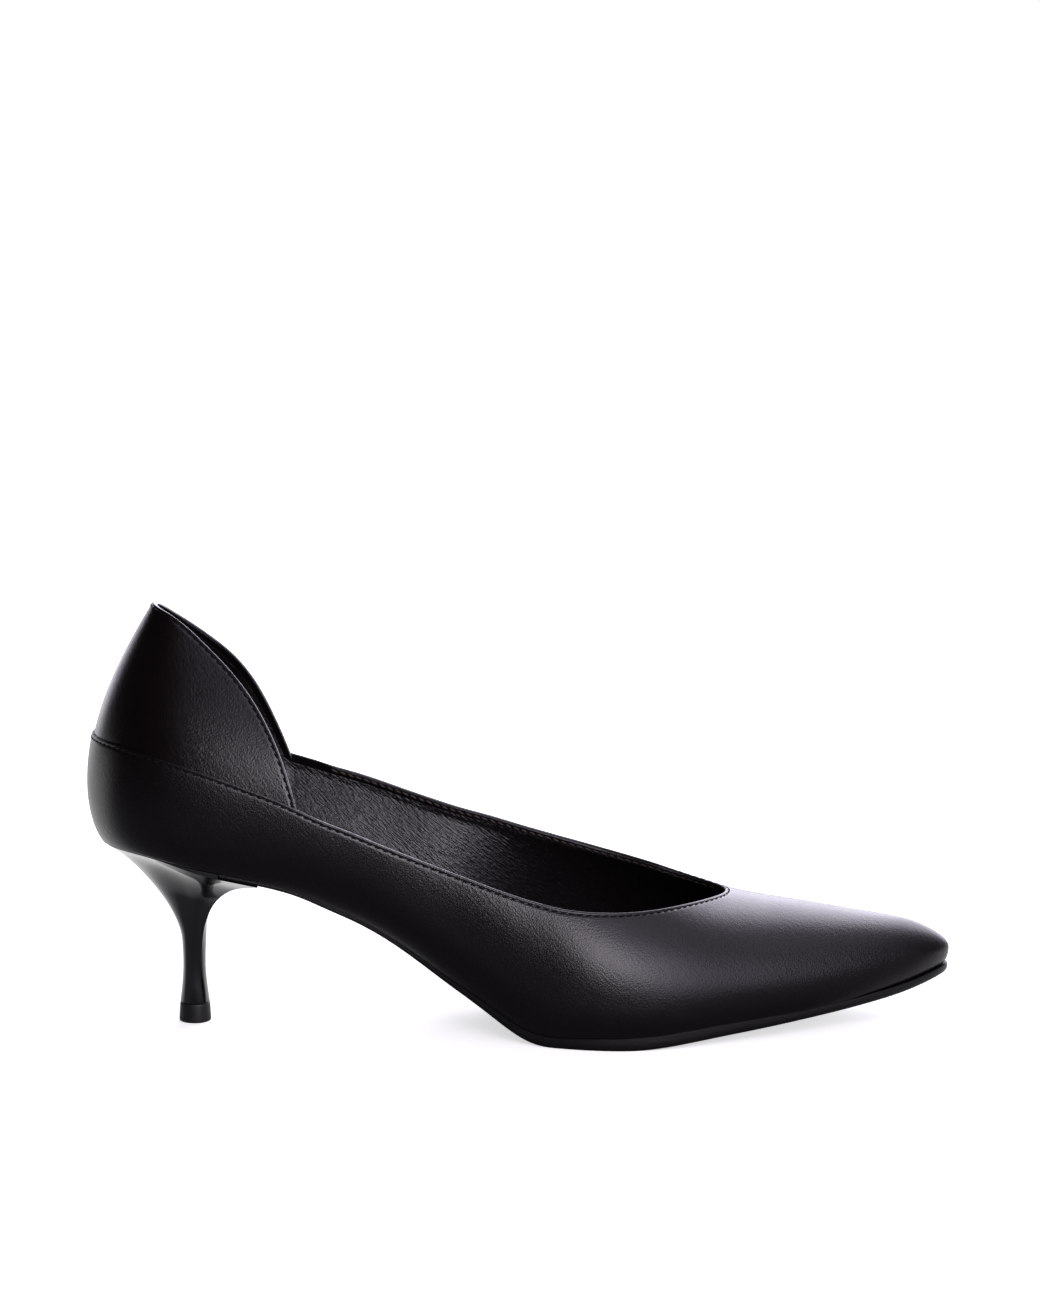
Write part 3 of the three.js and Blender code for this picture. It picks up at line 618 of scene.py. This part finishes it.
# Vamp and quarters: one band of smooth black leather, lasted round the foot from the toe to the heel.
# Its top edge is skived and folded, and its bottom edge is drawn in under the sole.
LEATHER = 0.5
FOLD_TRIM = 0.75


def trimmed(lines, distance):
    """For each side, the degrees at which a rib meets a line that is moved down by a distance."""
    found = []
    for side, (places, degrees) in enumerate(lines):
        if side:
            places, degrees = places[::-1], degrees[::-1]
        moved, at = lowered(places, degrees, distance)
        if side:
            moved, at = (2 * TIP - moved)[::-1], at[::-1]
        order = np.argsort(moved)
        found.append((moved[order], at[order]))
    return found


def nearest(points, line):
    """Distance from each point to a line of close points."""
    found = np.empty(len(points))
    for start in range(0, len(points), 2000):
        part = points[start : start + 2000]
        found[start : start + 2000] = np.sqrt(((part[:, None] - line[None]) ** 2).sum(-1).min(1))
    return found


band_lines = trimmed(top_lines, FOLD_TRIM)
band_tip = min(line[0].max() for line in band_lines)
left = 1 - np.linspace(0, 1, 211)
open_places = band_tip * (1 - left * (0.12 + 0.88 * left))
shut_places = np.linspace(band_tip, TIP, 110)[1:]
band_below = np.array([0, 0.3, 0.55, 0.75, 0.95, 1.2, 1.55, 2.0, 2.6, 3.4, 4.4])
band_rows = 34


def rib_rows(side, top_degrees, places, below, rows):
    """Degrees of a rib's points: at set distances below its top, then evenly down to the feather."""
    spots = places if side == 0 else 2 * TIP - places
    tilt = np.minimum(top_degrees, NEAR_RIDGE)
    per_degree = np.linalg.norm(last_point(spots, tilt) - last_point(spots, tilt - 1), axis=-1)
    near = top_degrees[None] - below[:, None] / per_degree[None]
    share = np.linspace(0, 1, rows + 1)[1:, None]
    far = near[-1][None] * (1 - share) - FEATHER_ANGLE * share
    return spots, np.concatenate([near, far])[::-1]


band_spots, band_degrees = [], []
for side in (0, 1):
    tops = np.concatenate([np.interp(open_places, *band_lines[side]), np.full(len(shut_places), 90.0)])
    tops[len(open_places) - 1] = 90.0
    spots, degrees = rib_rows(side, tops, np.concatenate([open_places, shut_places]), band_below, band_rows)
    band_spots.append(spots)
    band_degrees.append(degrees)
ring_spots = np.concatenate([band_spots[0], band_spots[1][1:-1][::-1]])
ring_degrees = np.concatenate([band_degrees[0], band_degrees[1][:, 1:-1][:, ::-1]], 1)
outside = last_point(ring_spots[None], ring_degrees)
outward = last_normal(ring_spots[None], ring_degrees)
fine = len(band_below) + 2
edge_distance = np.full(outside.shape[:2], 99.0)
edge_distance[-fine:] = nearest(outside[-fine:].reshape(-1, 3), top_run).reshape(fine, -1)
STITCH_BELOW, GROOVE, GROOVE_WIDTH = 1.15, 0.17, 0.4
groove = GROOVE * np.exp(-(((edge_distance - STITCH_BELOW) / GROOVE_WIDTH) ** 2))
outside = outside - outward * groove[..., None]
inside = wall_point(ring_spots[None], ring_degrees[::3], np.full(ring_degrees[::3].shape, LEATHER))
inside_top = wall_point(ring_spots[None], ring_degrees[-1:], np.full((1, len(ring_spots)), LEATHER))
inside = np.concatenate([inside, inside_top]) if (len(ring_degrees) - 1) % 3 else inside
band_leather = leather("band_leather", (0.0036, 0.0019, 0.0023), 0.32, 0.5, 0.04, 0.045, -46, 0.8)
band = Skin()
band.add(outside, ring=True)
band.add(inside, ring=True, flip=True)
band.add(np.stack([inside[0], outside[0]]), ring=True)
opening = len(open_places)
open_ring = np.concatenate([np.arange(len(ring_spots) - opening + 1, len(ring_spots)), np.arange(opening)])
band.add(np.stack([outside[-1][open_ring], inside[-1][open_ring]]))
band.piece("vamp_and_quarters", band_leather, ["upper"])

# Folded top edge of the band: the leather is turned over to the inside, and beaten flat round the heel,
# where it lies on the back panel.
BEND = 0.3


def down_from(points, normals, closed):
    """For each point of an edge, the direction over the surface that leads away from it."""
    tangent = np.roll(points, -1, 0) - np.roll(points, 1, 0) if closed else np.gradient(points, axis=0)
    return unit(np.cross(unit(tangent), normals))


def sweep(skin, points, normals, sections, closed):
    """A cross-section carried along a line. Its points are distances below the line and depths."""
    down = down_from(points, normals, closed)
    rows = points[:, None] + down[:, None] * sections[..., :1] - normals[:, None] * sections[..., 1:]
    rows = np.concatenate([rows, rows[:, :1]], 1)
    if closed:
        rows = np.concatenate([rows, rows[:1]])
    skin.add(rows)
    return rows


def fold_sections(thickness, turned):
    """Cross-sections of a folded edge: outer face, bend, and the part turned to the inside."""
    round_off = np.radians([15, 40, 65, 90, 115, 140, 165])
    rows = []
    for t, deep in zip(thickness, turned):
        face = ((0.04, 0.32), (0.1, 0.1), (0.25, 0.02), (0.45, -0.02), (0.65, -0.03))
        outer = [(STITCH_BELOW - before, depth) for before, depth in face]
        radius = (t + 0.03) / 2
        bend = [(BEND * (1 - math.sin(a)), radius * (1 - math.cos(a)) - 0.03) for a in round_off]
        inner = [(deep * 0.5, t), (deep, t), (deep, t - 0.15), (deep * 0.6, t * 0.7)]
        rows.append(outer + bend + inner)
    return np.array(rows)


fold = Skin()
junction = 0.262 * SHOE_LENGTH
open_share = smooth_step(top_run[:, 0], junction, junction + 6)
FLAT_FOLD, FOLD_THICKNESS = 0.56, 1.4
thickness = FLAT_FOLD + (FOLD_THICKNESS - FLAT_FOLD) * open_share
sections = fold_sections(thickness, 1.2 + 0.8 * open_share)
sweep(fold, top_run, top_out, sections, closed=True)
fold.piece("topline_fold", band_leather)

# Back panel: a leaf-shaped piece of the same leather, wrapped round the heel. Its lower edge is tucked
# behind the band, and its front edge is folded like the topline.
PANEL_DEPTH = 0.6
PANEL_LEATHER = 0.8
TUCK = 3.0
panel_tops = trimmed(panel_lines, FOLD_TRIM)
left = 1 - np.linspace(0, 1, 110)
panel_reach = min(line[0].max() for line in panel_tops)
panel_places = panel_reach * (1 - left * (0.3 + 0.7 * left))
panel_spots, panel_low, panel_high = [], [], []
for side in (0, 1):
    spots = panel_places if side == 0 else 2 * TIP - panel_places
    seam = degrees_at(spots, top_edge_at[side])
    per_degree = np.linalg.norm(last_point(spots, seam) - last_point(spots, seam - 1), axis=-1)
    low = seam - TUCK / per_degree
    high = np.interp(panel_places, *panel_tops[side])
    keep = high > low + 0.2
    panel_spots.append(spots[keep])
    panel_low.append(low[keep])
    panel_high.append(high[keep])
ring_spots = np.concatenate([panel_spots[1][1:][::-1], panel_spots[0]])
ring_low = np.concatenate([panel_low[1][1:][::-1], panel_low[0]])
ring_high = np.concatenate([panel_high[1][1:][::-1], panel_high[0]])
panel_run = both_sides(panel_lines)[0]
share = 1 - (1 - np.linspace(0, 1, 45)[:, None]) ** 1.5
panel_degrees = ring_low[None] * (1 - share) + ring_high[None] * share
outer_points = last_point(ring_spots[None], panel_degrees)
outer_normals = last_normal(ring_spots[None], panel_degrees)
edge_distance = nearest(outer_points.reshape(-1, 3), panel_run).reshape(outer_points.shape[:2])
groove = GROOVE * np.exp(-(((edge_distance - STITCH_BELOW) / GROOVE_WIDTH) ** 2))
outside = outer_points - outer_normals * (PANEL_DEPTH + groove)[..., None]
inside = outer_points - outer_normals * (PANEL_DEPTH + PANEL_LEATHER)
panel = Skin()
panel.add(outside)
panel.add(inside, flip=True)
panel.add(np.stack([inside[0], outside[0]]))
panel.add(np.stack([outside[-1], inside[-1]]))
panel.add(np.stack([outside[:, 0], inside[:, 0]]))
panel.add(np.stack([inside[:, -1], outside[:, -1]]))
panel_leather = leather("panel_leather", (0.0036, 0.0019, 0.0023), 0.26, 0.5, 0.04, 0.05, -52, 0.8)
panel.piece("back_panel_leather", panel_leather, ["back_panel"])


def panel_edge_run():
    """The panel's edge from its outer end over the peak to its inner end, where it passes behind the band."""
    runs = []
    for side, (places, degrees) in enumerate(panel_lines):
        seam = degrees_at(places, top_edge_at[side])
        keep = degrees > seam - 3
        runs.append((last_point(places, degrees)[keep], last_normal(places, degrees)[keep]))
    (outer, outer_out), (inner, inner_out) = runs
    points = np.concatenate([inner[::-1], outer[1:]])
    return even_run(points, np.concatenate([inner_out[::-1], outer_out[1:]]), 0.4)


edge_points, edge_normals = panel_edge_run()
sections = fold_sections(np.full(len(edge_points), 1.7), np.full(len(edge_points), 2.0))
sections[..., 1] += PANEL_DEPTH
panel_fold = Skin()
rows = sweep(panel_fold, edge_points, edge_normals, sections, closed=False)
panel_fold.fan(rows[0][:-1], flip=True)
panel_fold.fan(rows[-1][:-1])
panel_fold.piece("panel_fold", panel_leather)

# Stitching: waxed thread in lockstitch, sunk in a groove just below each folded edge: black outside, and
# brown in the row that shows inside. One row goes round the whole top edge of the band, and one follows the
# front edge of the back panel.
STITCH_PITCH, STITCH_LENGTH, THREAD = 2.5, 2.25, 0.55
STITCH_SLANT = 13.0


def thread_material(name, dark, pale):
    """Waxed polyester thread: two twisted plies, with a dull sheen."""
    material = bpy.data.materials.new(name)
    material.use_nodes = True
    nodes, links = material.node_tree.nodes, material.node_tree.links
    shader = nodes["Principled BSDF"]
    shader.inputs["Roughness"].default_value = 0.7
    shader.inputs["Specular IOR Level"].default_value = 0.2
    fibre = nodes.new("ShaderNodeTexNoise")
    fibre.inputs["Scale"].default_value = 4000.0
    links.new(nodes.new("ShaderNodeTexCoord").outputs["Object"], fibre.inputs["Vector"])
    tint = nodes.new("ShaderNodeValToRGB")
    tint.color_ramp.elements[0].color = (*dark, 1)
    tint.color_ramp.elements[1].color = (*pale, 1)
    links.new(fibre.outputs["Fac"], tint.inputs["Fac"])
    links.new(tint.outputs["Color"], shader.inputs["Base Color"])
    ply = nodes.new("ShaderNodeBump")
    ply.inputs["Distance"].default_value = 0.05 * METRE
    links.new(fibre.outputs["Fac"], ply.inputs["Height"])
    links.new(ply.outputs["Normal"], shader.inputs["Normal"])
    return material


def stitching_tree(thread):
    """Node tree that lays stitches along a line of points that carry the direction out of the leather."""
    tree = bpy.data.node_groups.new("stitching", "GeometryNodeTree")
    face = tree.interface
    face.new_socket("Geometry", in_out="INPUT", socket_type="NodeSocketGeometry")
    face.new_socket("Geometry", in_out="OUTPUT", socket_type="NodeSocketGeometry")
    for name in ("Pitch", "Length", "Thread", "Slant", "Unevenness"):
        face.new_socket(name, in_out="INPUT", socket_type="NodeSocketFloat")
    face.new_socket("Seed", in_out="INPUT", socket_type="NodeSocketInt")
    node, link = tree.nodes.new, tree.links.new
    given, result = node("NodeGroupInput"), node("NodeGroupOutput")
    line, even = node("GeometryNodeMeshToCurve"), node("GeometryNodeResampleCurve")
    even.mode = "LENGTH"
    link(given.outputs["Geometry"], line.inputs["Mesh"])
    link(line.outputs["Curve"], even.inputs["Curve"])
    link(given.outputs["Pitch"], even.inputs["Length"])
    bead, size, shape = (node(kind) for kind in (
        "GeometryNodeMeshUVSphere", "ShaderNodeCombineXYZ", "GeometryNodeTransform"))
    bead.inputs["Segments"].default_value = 8
    bead.inputs["Rings"].default_value = 6
    bead.inputs["Radius"].default_value = 0.5
    for axis, side in zip("XYZ", ("Length", "Thread", "Thread")):
        link(given.outputs[side], size.inputs[axis])
    link(bead.outputs["Mesh"], shape.inputs["Geometry"])
    link(size.outputs["Vector"], shape.inputs["Scale"])
    out, upright, along = (node(kind) for kind in (
        "GeometryNodeInputNamedAttribute", "FunctionNodeAlignRotationToVector",
        "FunctionNodeAlignRotationToVector"))
    out.data_type = "FLOAT_VECTOR"
    out.inputs["Name"].default_value = "outward"
    upright.axis, along.axis, along.pivot_axis = "Z", "X", "Z"
    link(out.outputs["Attribute"], upright.inputs["Vector"])
    link(upright.outputs["Rotation"], along.inputs["Rotation"])
    link(node("GeometryNodeInputTangent").outputs["Tangent"], along.inputs["Vector"])
    chance, lean, angle, turned = (node(kind) for kind in (
        "FunctionNodeRandomValue", "ShaderNodeMath", "ShaderNodeCombineXYZ", "FunctionNodeRotateRotation"))
    chance.data_type = "FLOAT"
    chance.inputs[2].default_value, chance.inputs[3].default_value = -1, 1
    link(given.outputs["Seed"], chance.inputs["Seed"])
    lean.operation = "MULTIPLY_ADD"
    link(chance.outputs[1], lean.inputs[0])
    link(given.outputs["Unevenness"], lean.inputs[1])
    link(given.outputs["Slant"], lean.inputs[2])
    link(lean.outputs["Value"], angle.inputs["Z"])
    turned.rotation_space = "LOCAL"
    link(along.outputs["Rotation"], turned.inputs["Rotation"])
    link(angle.outputs["Vector"], turned.inputs["Rotate By"])
    laid, real, dyed, smooth = (node(kind) for kind in (
        "GeometryNodeInstanceOnPoints", "GeometryNodeRealizeInstances", "GeometryNodeSetMaterial",
        "GeometryNodeSetShadeSmooth"))
    link(even.outputs["Curve"], laid.inputs["Points"])
    link(shape.outputs["Geometry"], laid.inputs["Instance"])
    link(turned.outputs["Rotation"], laid.inputs["Rotation"])
    link(laid.outputs["Instances"], real.inputs["Geometry"])
    link(real.outputs["Geometry"], smooth.inputs["Geometry"])
    dyed.inputs["Material"].default_value = thread
    link(smooth.outputs["Geometry"], dyed.inputs["Geometry"])
    link(dyed.outputs["Geometry"], result.inputs["Geometry"])
    return tree


black_thread = thread_material("black_thread", (0.0015, 0.0012, 0.0014), (0.006, 0.005, 0.006))
brown_thread = thread_material("brown_thread", (0.05, 0.04, 0.036), (0.11, 0.09, 0.08))
stitchings = {thread.name: stitching_tree(thread) for thread in (black_thread, brown_thread)}


def stitch_row(name, points, normals, depth, closed, seed, thread="black_thread"):
    """A row of stitches below an edge, as one plain mesh."""
    line = points + down_from(points, normals, closed) * STITCH_BELOW - normals * depth
    count = len(line)
    edges = [(k, (k + 1) % count) for k in range(count if closed else count - 1)]
    path = bpy.data.meshes.new(name + "_path")
    path.from_pydata(((line + shift) * METRE).tolist(), edges, [])
    path.attributes.new("outward", "FLOAT_VECTOR", "POINT").data.foreach_set("vector", normals.ravel())
    guide = bpy.data.objects.new(name + "_path", path)
    bpy.context.scene.collection.objects.link(guide)
    sewing = guide.modifiers.new("stitching", "NODES")
    stitching = stitchings[thread]
    sewing.node_group = stitching
    sizes = {"Pitch": STITCH_PITCH * METRE, "Length": STITCH_LENGTH * METRE, "Thread": THREAD * METRE,
             "Slant": math.radians(STITCH_SLANT), "Unevenness": 0.06, "Seed": seed}
    for item in stitching.interface.items_tree:
        if item.in_out == "INPUT" and item.name in sizes:
            sewing[item.identifier] = sizes[item.name]
    view = bpy.context.evaluated_depsgraph_get()
    sewn = bpy.data.meshes.new_from_object(guide.evaluated_get(view), depsgraph=view)
    bpy.data.objects.remove(guide)
    row = bpy.data.objects.new(name, sewn)
    bpy.context.scene.collection.objects.link(row)
    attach(row, "root")


stitch_row("band_stitches", top_run, top_out, 0.1, True, 3)
ends = np.flatnonzero(nearest(edge_points, top_run) > 1.2)
above = slice(ends[0], ends[-1] + 1)
stitch_row("panel_stitches", edge_points[above], edge_normals[above], PANEL_DEPTH + 0.1, False, 5)
ends = np.flatnonzero(open_share >= 1)
free = slice(ends[0], ends[-1] + 1)
stitch_row("inner_stitches", top_run[free], top_out[free], FOLD_THICKNESS, False, 8, "brown_thread")

# Lining: thin dark leather over the stiffener and the whole inside, glued down, with its top edge folded
# just under the turned leather. It is slack along the quarters, where it shows fine slanting creases.
LINING = 0.6
SLACK, SLACK_START, SLACK_EASE = 8.0, 2.0, 18.0
lining_top_lines = trimmed(top_lines, 2.0)
lining_panel_lines = trimmed(panel_lines, 2.0)
lining_tip = min(line[0].max() for line in lining_top_lines)
left = 1 - np.linspace(0, 1, 231)
open_places = lining_tip * (1 - left * (0.12 + 0.88 * left))
shut_places = np.linspace(lining_tip, TIP, 60)[1:]
lining_below = np.array([0, 0.15, 0.4, 0.8, 1.3, 2.0, 3.0])
lining_spots, lining_degrees = [], []
for side in (0, 1):
    tops = np.interp(open_places, *lining_top_lines[side])
    reach = lining_panel_lines[side][0].max()
    panel_top = np.where(open_places < reach, np.interp(open_places, *lining_panel_lines[side]), -90)
    tops = np.concatenate([np.maximum(tops, panel_top), np.full(len(shut_places), 90.0)])
    tops[len(open_places) - 1] = 90.0
    spots, degrees = rib_rows(side, tops, np.concatenate([open_places, shut_places]), lining_below, 60)
    lining_spots.append(spots)
    lining_degrees.append(degrees)
ring_spots = np.concatenate([lining_spots[0], lining_spots[1][1:-1][::-1]])
ring_degrees = np.concatenate([lining_degrees[0], lining_degrees[1][:, 1:-1][:, ::-1]], 1)
ring_x = along_at(ring_spots) * SHOE_LENGTH
depth = np.broadcast_to(wall_depth_at(ring_x)[None], ring_degrees.shape).copy()
edge_ease = np.linspace(1, 0, len(lining_below) + 6)
for k, share in enumerate(edge_ease[::-1]):
    row = len(ring_degrees) - len(edge_ease) + k
    depth[row] -= share * np.where(ring_x > junction, 0.45, 0.3)
wall = last_point(ring_spots[None], ring_degrees)[::-1]
steps = np.linalg.norm(np.diff(wall, axis=0), axis=-1)
run = np.concatenate([np.zeros((1, len(ring_x))), np.cumsum(steps, 0)])
loose = smooth_step(ring_x, 42, 58) * (1 - smooth_step(ring_x, 104, 142))
slack = SLACK * (1 - np.exp(-np.maximum(0, run - SLACK_START) / SLACK_EASE))
slack = (slack * (1 - smooth_step(run / run[-1:], 0.5, 0.95)) * loose)[::-1]
depth += slack
face = wall_point(ring_spots[None], ring_degrees, depth)
back_face = wall_point(ring_spots[None], ring_degrees[::4], depth[::4] - LINING)
back_top = wall_point(ring_spots[None], ring_degrees[-1:], depth[-1:] - LINING * 0.6)
back_face = np.concatenate([back_face[:-1], back_top])
lining_leather = leather("lining_leather", (0.005, 0.004, 0.004), 0.3, 0.5, 0.035, 0.3, -40, 0.45)
lining = Skin()
lining.add(face, ring=True, flip=True)
lining.add(back_face, ring=True)
lining.add(np.stack([face[0], back_face[0]]), ring=True)
opening = len(open_places)
open_ring = np.concatenate([np.arange(len(ring_spots) - opening + 1, len(ring_spots)), np.arange(opening)])
lining.add(np.stack([back_face[-1][open_ring], face[-1][open_ring]]))
lining.piece("lining", lining_leather)

# Sole: thin black leather, cemented under the lasted upper from the front part of the heel seat to the toe.
# Its edge is trimmed close, inked and burnished.
SOLE_INSET, SOLE_TOE_REACH = 0.5, 1.8
SEAT_LENGTH = 41.0
sole_leather = leather("sole_leather", (0.003, 0.0025, 0.0025), 0.45, 1.2, 0.02, 0.05)
sole = Skin()


def edge_inset(bevel):
    """Inset of the sole's edge, which stands out round the toe."""
    return lambda x: SOLE_INSET + bevel - SOLE_TOE_REACH * smooth_step(x / SHOE_LENGTH, 0.82, 0.98)


def between(share):
    return lambda x: tread_z(x) * (1 - share) + (feather_z(x) - 0.12) * share


bottom_sheet(
    sole,
    end_places(place_at(SEAT_LENGTH + 0.3), 220),
    [
        (edge_inset(0.8), between(0)),
        (edge_inset(0.35), between(0.06)),
        (edge_inset(0.05), between(0.25)),
        (edge_inset(-0.05), between(0.6)),
        (edge_inset(0.05), between(1)),
    ],
    24,
)
sole.piece("outsole_leather", sole_leather, ["outsole"])

# Heel: moulded, flared under the seat and slim below, sprayed with black lacquer and polished.
# It is screwed on through the insole, so nothing shows.
STEM_RADIUS, STEM_FOOT_RADIUS = 3.3, 4.4
TOP_PIECE_HEIGHT = 5.8
BREAST_SETBACK = 52.5
HEEL_GAP, HEEL_INSET = 0.3, 0.6
HEEL_LIP, RIM_HEIGHT = 0.5, 0.1
# rise, back, side, front
FLARE = np.array([
    (0, 0, 0, 0), (0.22, 0, 0, 0), (0.34, 0.01, 0.006, 0.004), (0.44, 0.03, 0.022, 0.012),
    (0.5, 0.068, 0.042, 0.018), (0.55, 0.112, 0.066, 0.026), (0.6, 0.165, 0.1, 0.036),
    (0.65, 0.226, 0.145, 0.052), (0.7, 0.297, 0.195, 0.072), (0.75, 0.375, 0.255, 0.1),
    (0.8, 0.466, 0.34, 0.14), (0.85, 0.573, 0.45, 0.2), (0.9, 0.7, 0.59, 0.3),
    (0.95, 0.845, 0.77, 0.5), (0.98, 0.95, 0.91, 0.75), (1, 1, 1, 1),
])
back_at, side_at, front_at = (fair_curve(FLARE[:, 0], FLARE[:, k], 2e-6) for k in (1, 2, 3))

seat_end, breast = place_at(SEAT_LENGTH), place_at(BREAST_SETBACK)
rear = seat_end * np.sin(math.pi / 2 * np.linspace(0, 1, 70))
front = np.linspace(seat_end, breast, 16)
tops = []
for places, height in ((rear[:-1], feather_z), (front, tread_z)):
    sides = outline(places, HEEL_INSET)
    tops.append([np.column_stack([p, height(p[:, 0]) - HEEL_GAP]) for p in sides])
outer_top = np.concatenate([tops[0][0], tops[1][0]])
inner_top = np.concatenate([tops[0][1], tops[1][1]])
share = np.linspace(0, 1, 34)[1:-1, None]
breast_line = outer_top[-1] * (1 - share) + inner_top[-1] * share
ring = np.concatenate([outer_top, breast_line, inner_top[1:][::-1]])
rim = ring.copy()
under_sole = tread_z(ring[:, 0]) - HEEL_GAP
rim[:, 2] += (under_sole - ring[:, 2]) * smooth_step(ring[:, 0], 0.5 * SEAT_LENGTH, SEAT_LENGTH)
base = TOP_PIECE_HEIGHT + HEEL_GAP
levels = 1 - (1 - np.linspace(0, 1, 90)) ** 1.5
seat = np.column_stack([ring[:, :2], under_sole - HEEL_LIP])
rim_foot = rim - (0, 0, RIM_HEIGHT)
angle = np.arctan2(ring[:, 1], ring[:, 0] - STEM_SETBACK)
lengthwise = np.cos(angle) ** 2
to_front = smooth_step(ring[:, 0], STEM_SETBACK - 8, STEM_SETBACK + 8)
rows = []
for level in levels:
    narrowing = math.sin(min(1, level / 0.33) * math.pi / 2)
    radius = STEM_FOOT_RADIUS + (STEM_RADIUS - STEM_FOOT_RADIUS) * narrowing
    ahead = back_at(level) * (1 - to_front) + front_at(level) * to_front
    spread = lengthwise * ahead + (1 - lengthwise) * side_at(level)
    stem_x = STEM_SETBACK + radius * np.cos(angle)
    stem_y = radius * np.sin(angle)
    edge = seat + (rim_foot - seat) * smooth_step(level, 0.75, 1.0)
    rows.append(np.stack([
        stem_x + (edge[:, 0] - stem_x) * spread,
        stem_y + (edge[:, 1] - stem_y) * spread,
        base + (edge[:, 2] - base) * level,
    ], -1))
rows += [rim, ring]
heel = Skin()
heel.add(np.stack(rows), ring=True)
cover = np.linspace(0, 1, 9)[:, None, None]
heel.add(outer_top[None] * (1 - cover) + inner_top[None] * cover)
heel.fan(np.concatenate([outer_top[-1:], breast_line, inner_top[-1:]])[::-1])
heel.fan(rows[0], flip=True)
lacquer = bpy.data.materials.new("heel_lacquer")
lacquer.use_nodes = True
nodes, links = lacquer.node_tree.nodes, lacquer.node_tree.links
shader = nodes["Principled BSDF"]
shader.inputs["Base Color"].default_value = (0.004, 0.004, 0.0045, 1)
shader.inputs["Roughness"].default_value = 0.09
shader.inputs["IOR"].default_value = 1.7
shader.inputs["Specular IOR Level"].default_value = 0.8
heel.piece("heel_block", lacquer, ["heel"])

# Top piece of the heel: a round plug of hard black plastic, pinned into the stem.
plug_profile = np.array([
    (0, 0), (4.0, 0), (4.35, 0.04), (4.62, 0.2), (4.74, 0.5), (4.75, 1.0), (4.62, 3.0), (4.52, 5.2),
    (4.46, 5.6), (4.3, 5.78), (3.9, 5.8), (0, 5.8),
])
turn = np.linspace(0, 2 * math.pi, 65)[:-1]
rows = np.stack([
    np.stack([STEM_SETBACK + r * np.cos(turn), r * np.sin(turn), np.full(len(turn), z)], -1)
    for r, z in plug_profile
])
plug_plastic = bpy.data.materials.new("plug_plastic")
plug_plastic.use_nodes = True
shader = plug_plastic.node_tree.nodes["Principled BSDF"]
shader.inputs["Base Color"].default_value = (0.011, 0.011, 0.011, 1)
shader.inputs["Roughness"].default_value = 0.5
top_piece = Skin()
top_piece.add(rows, ring=True)
top_piece.piece("top_piece_plug", plug_plastic, ["top_piece"])

low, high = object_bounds()
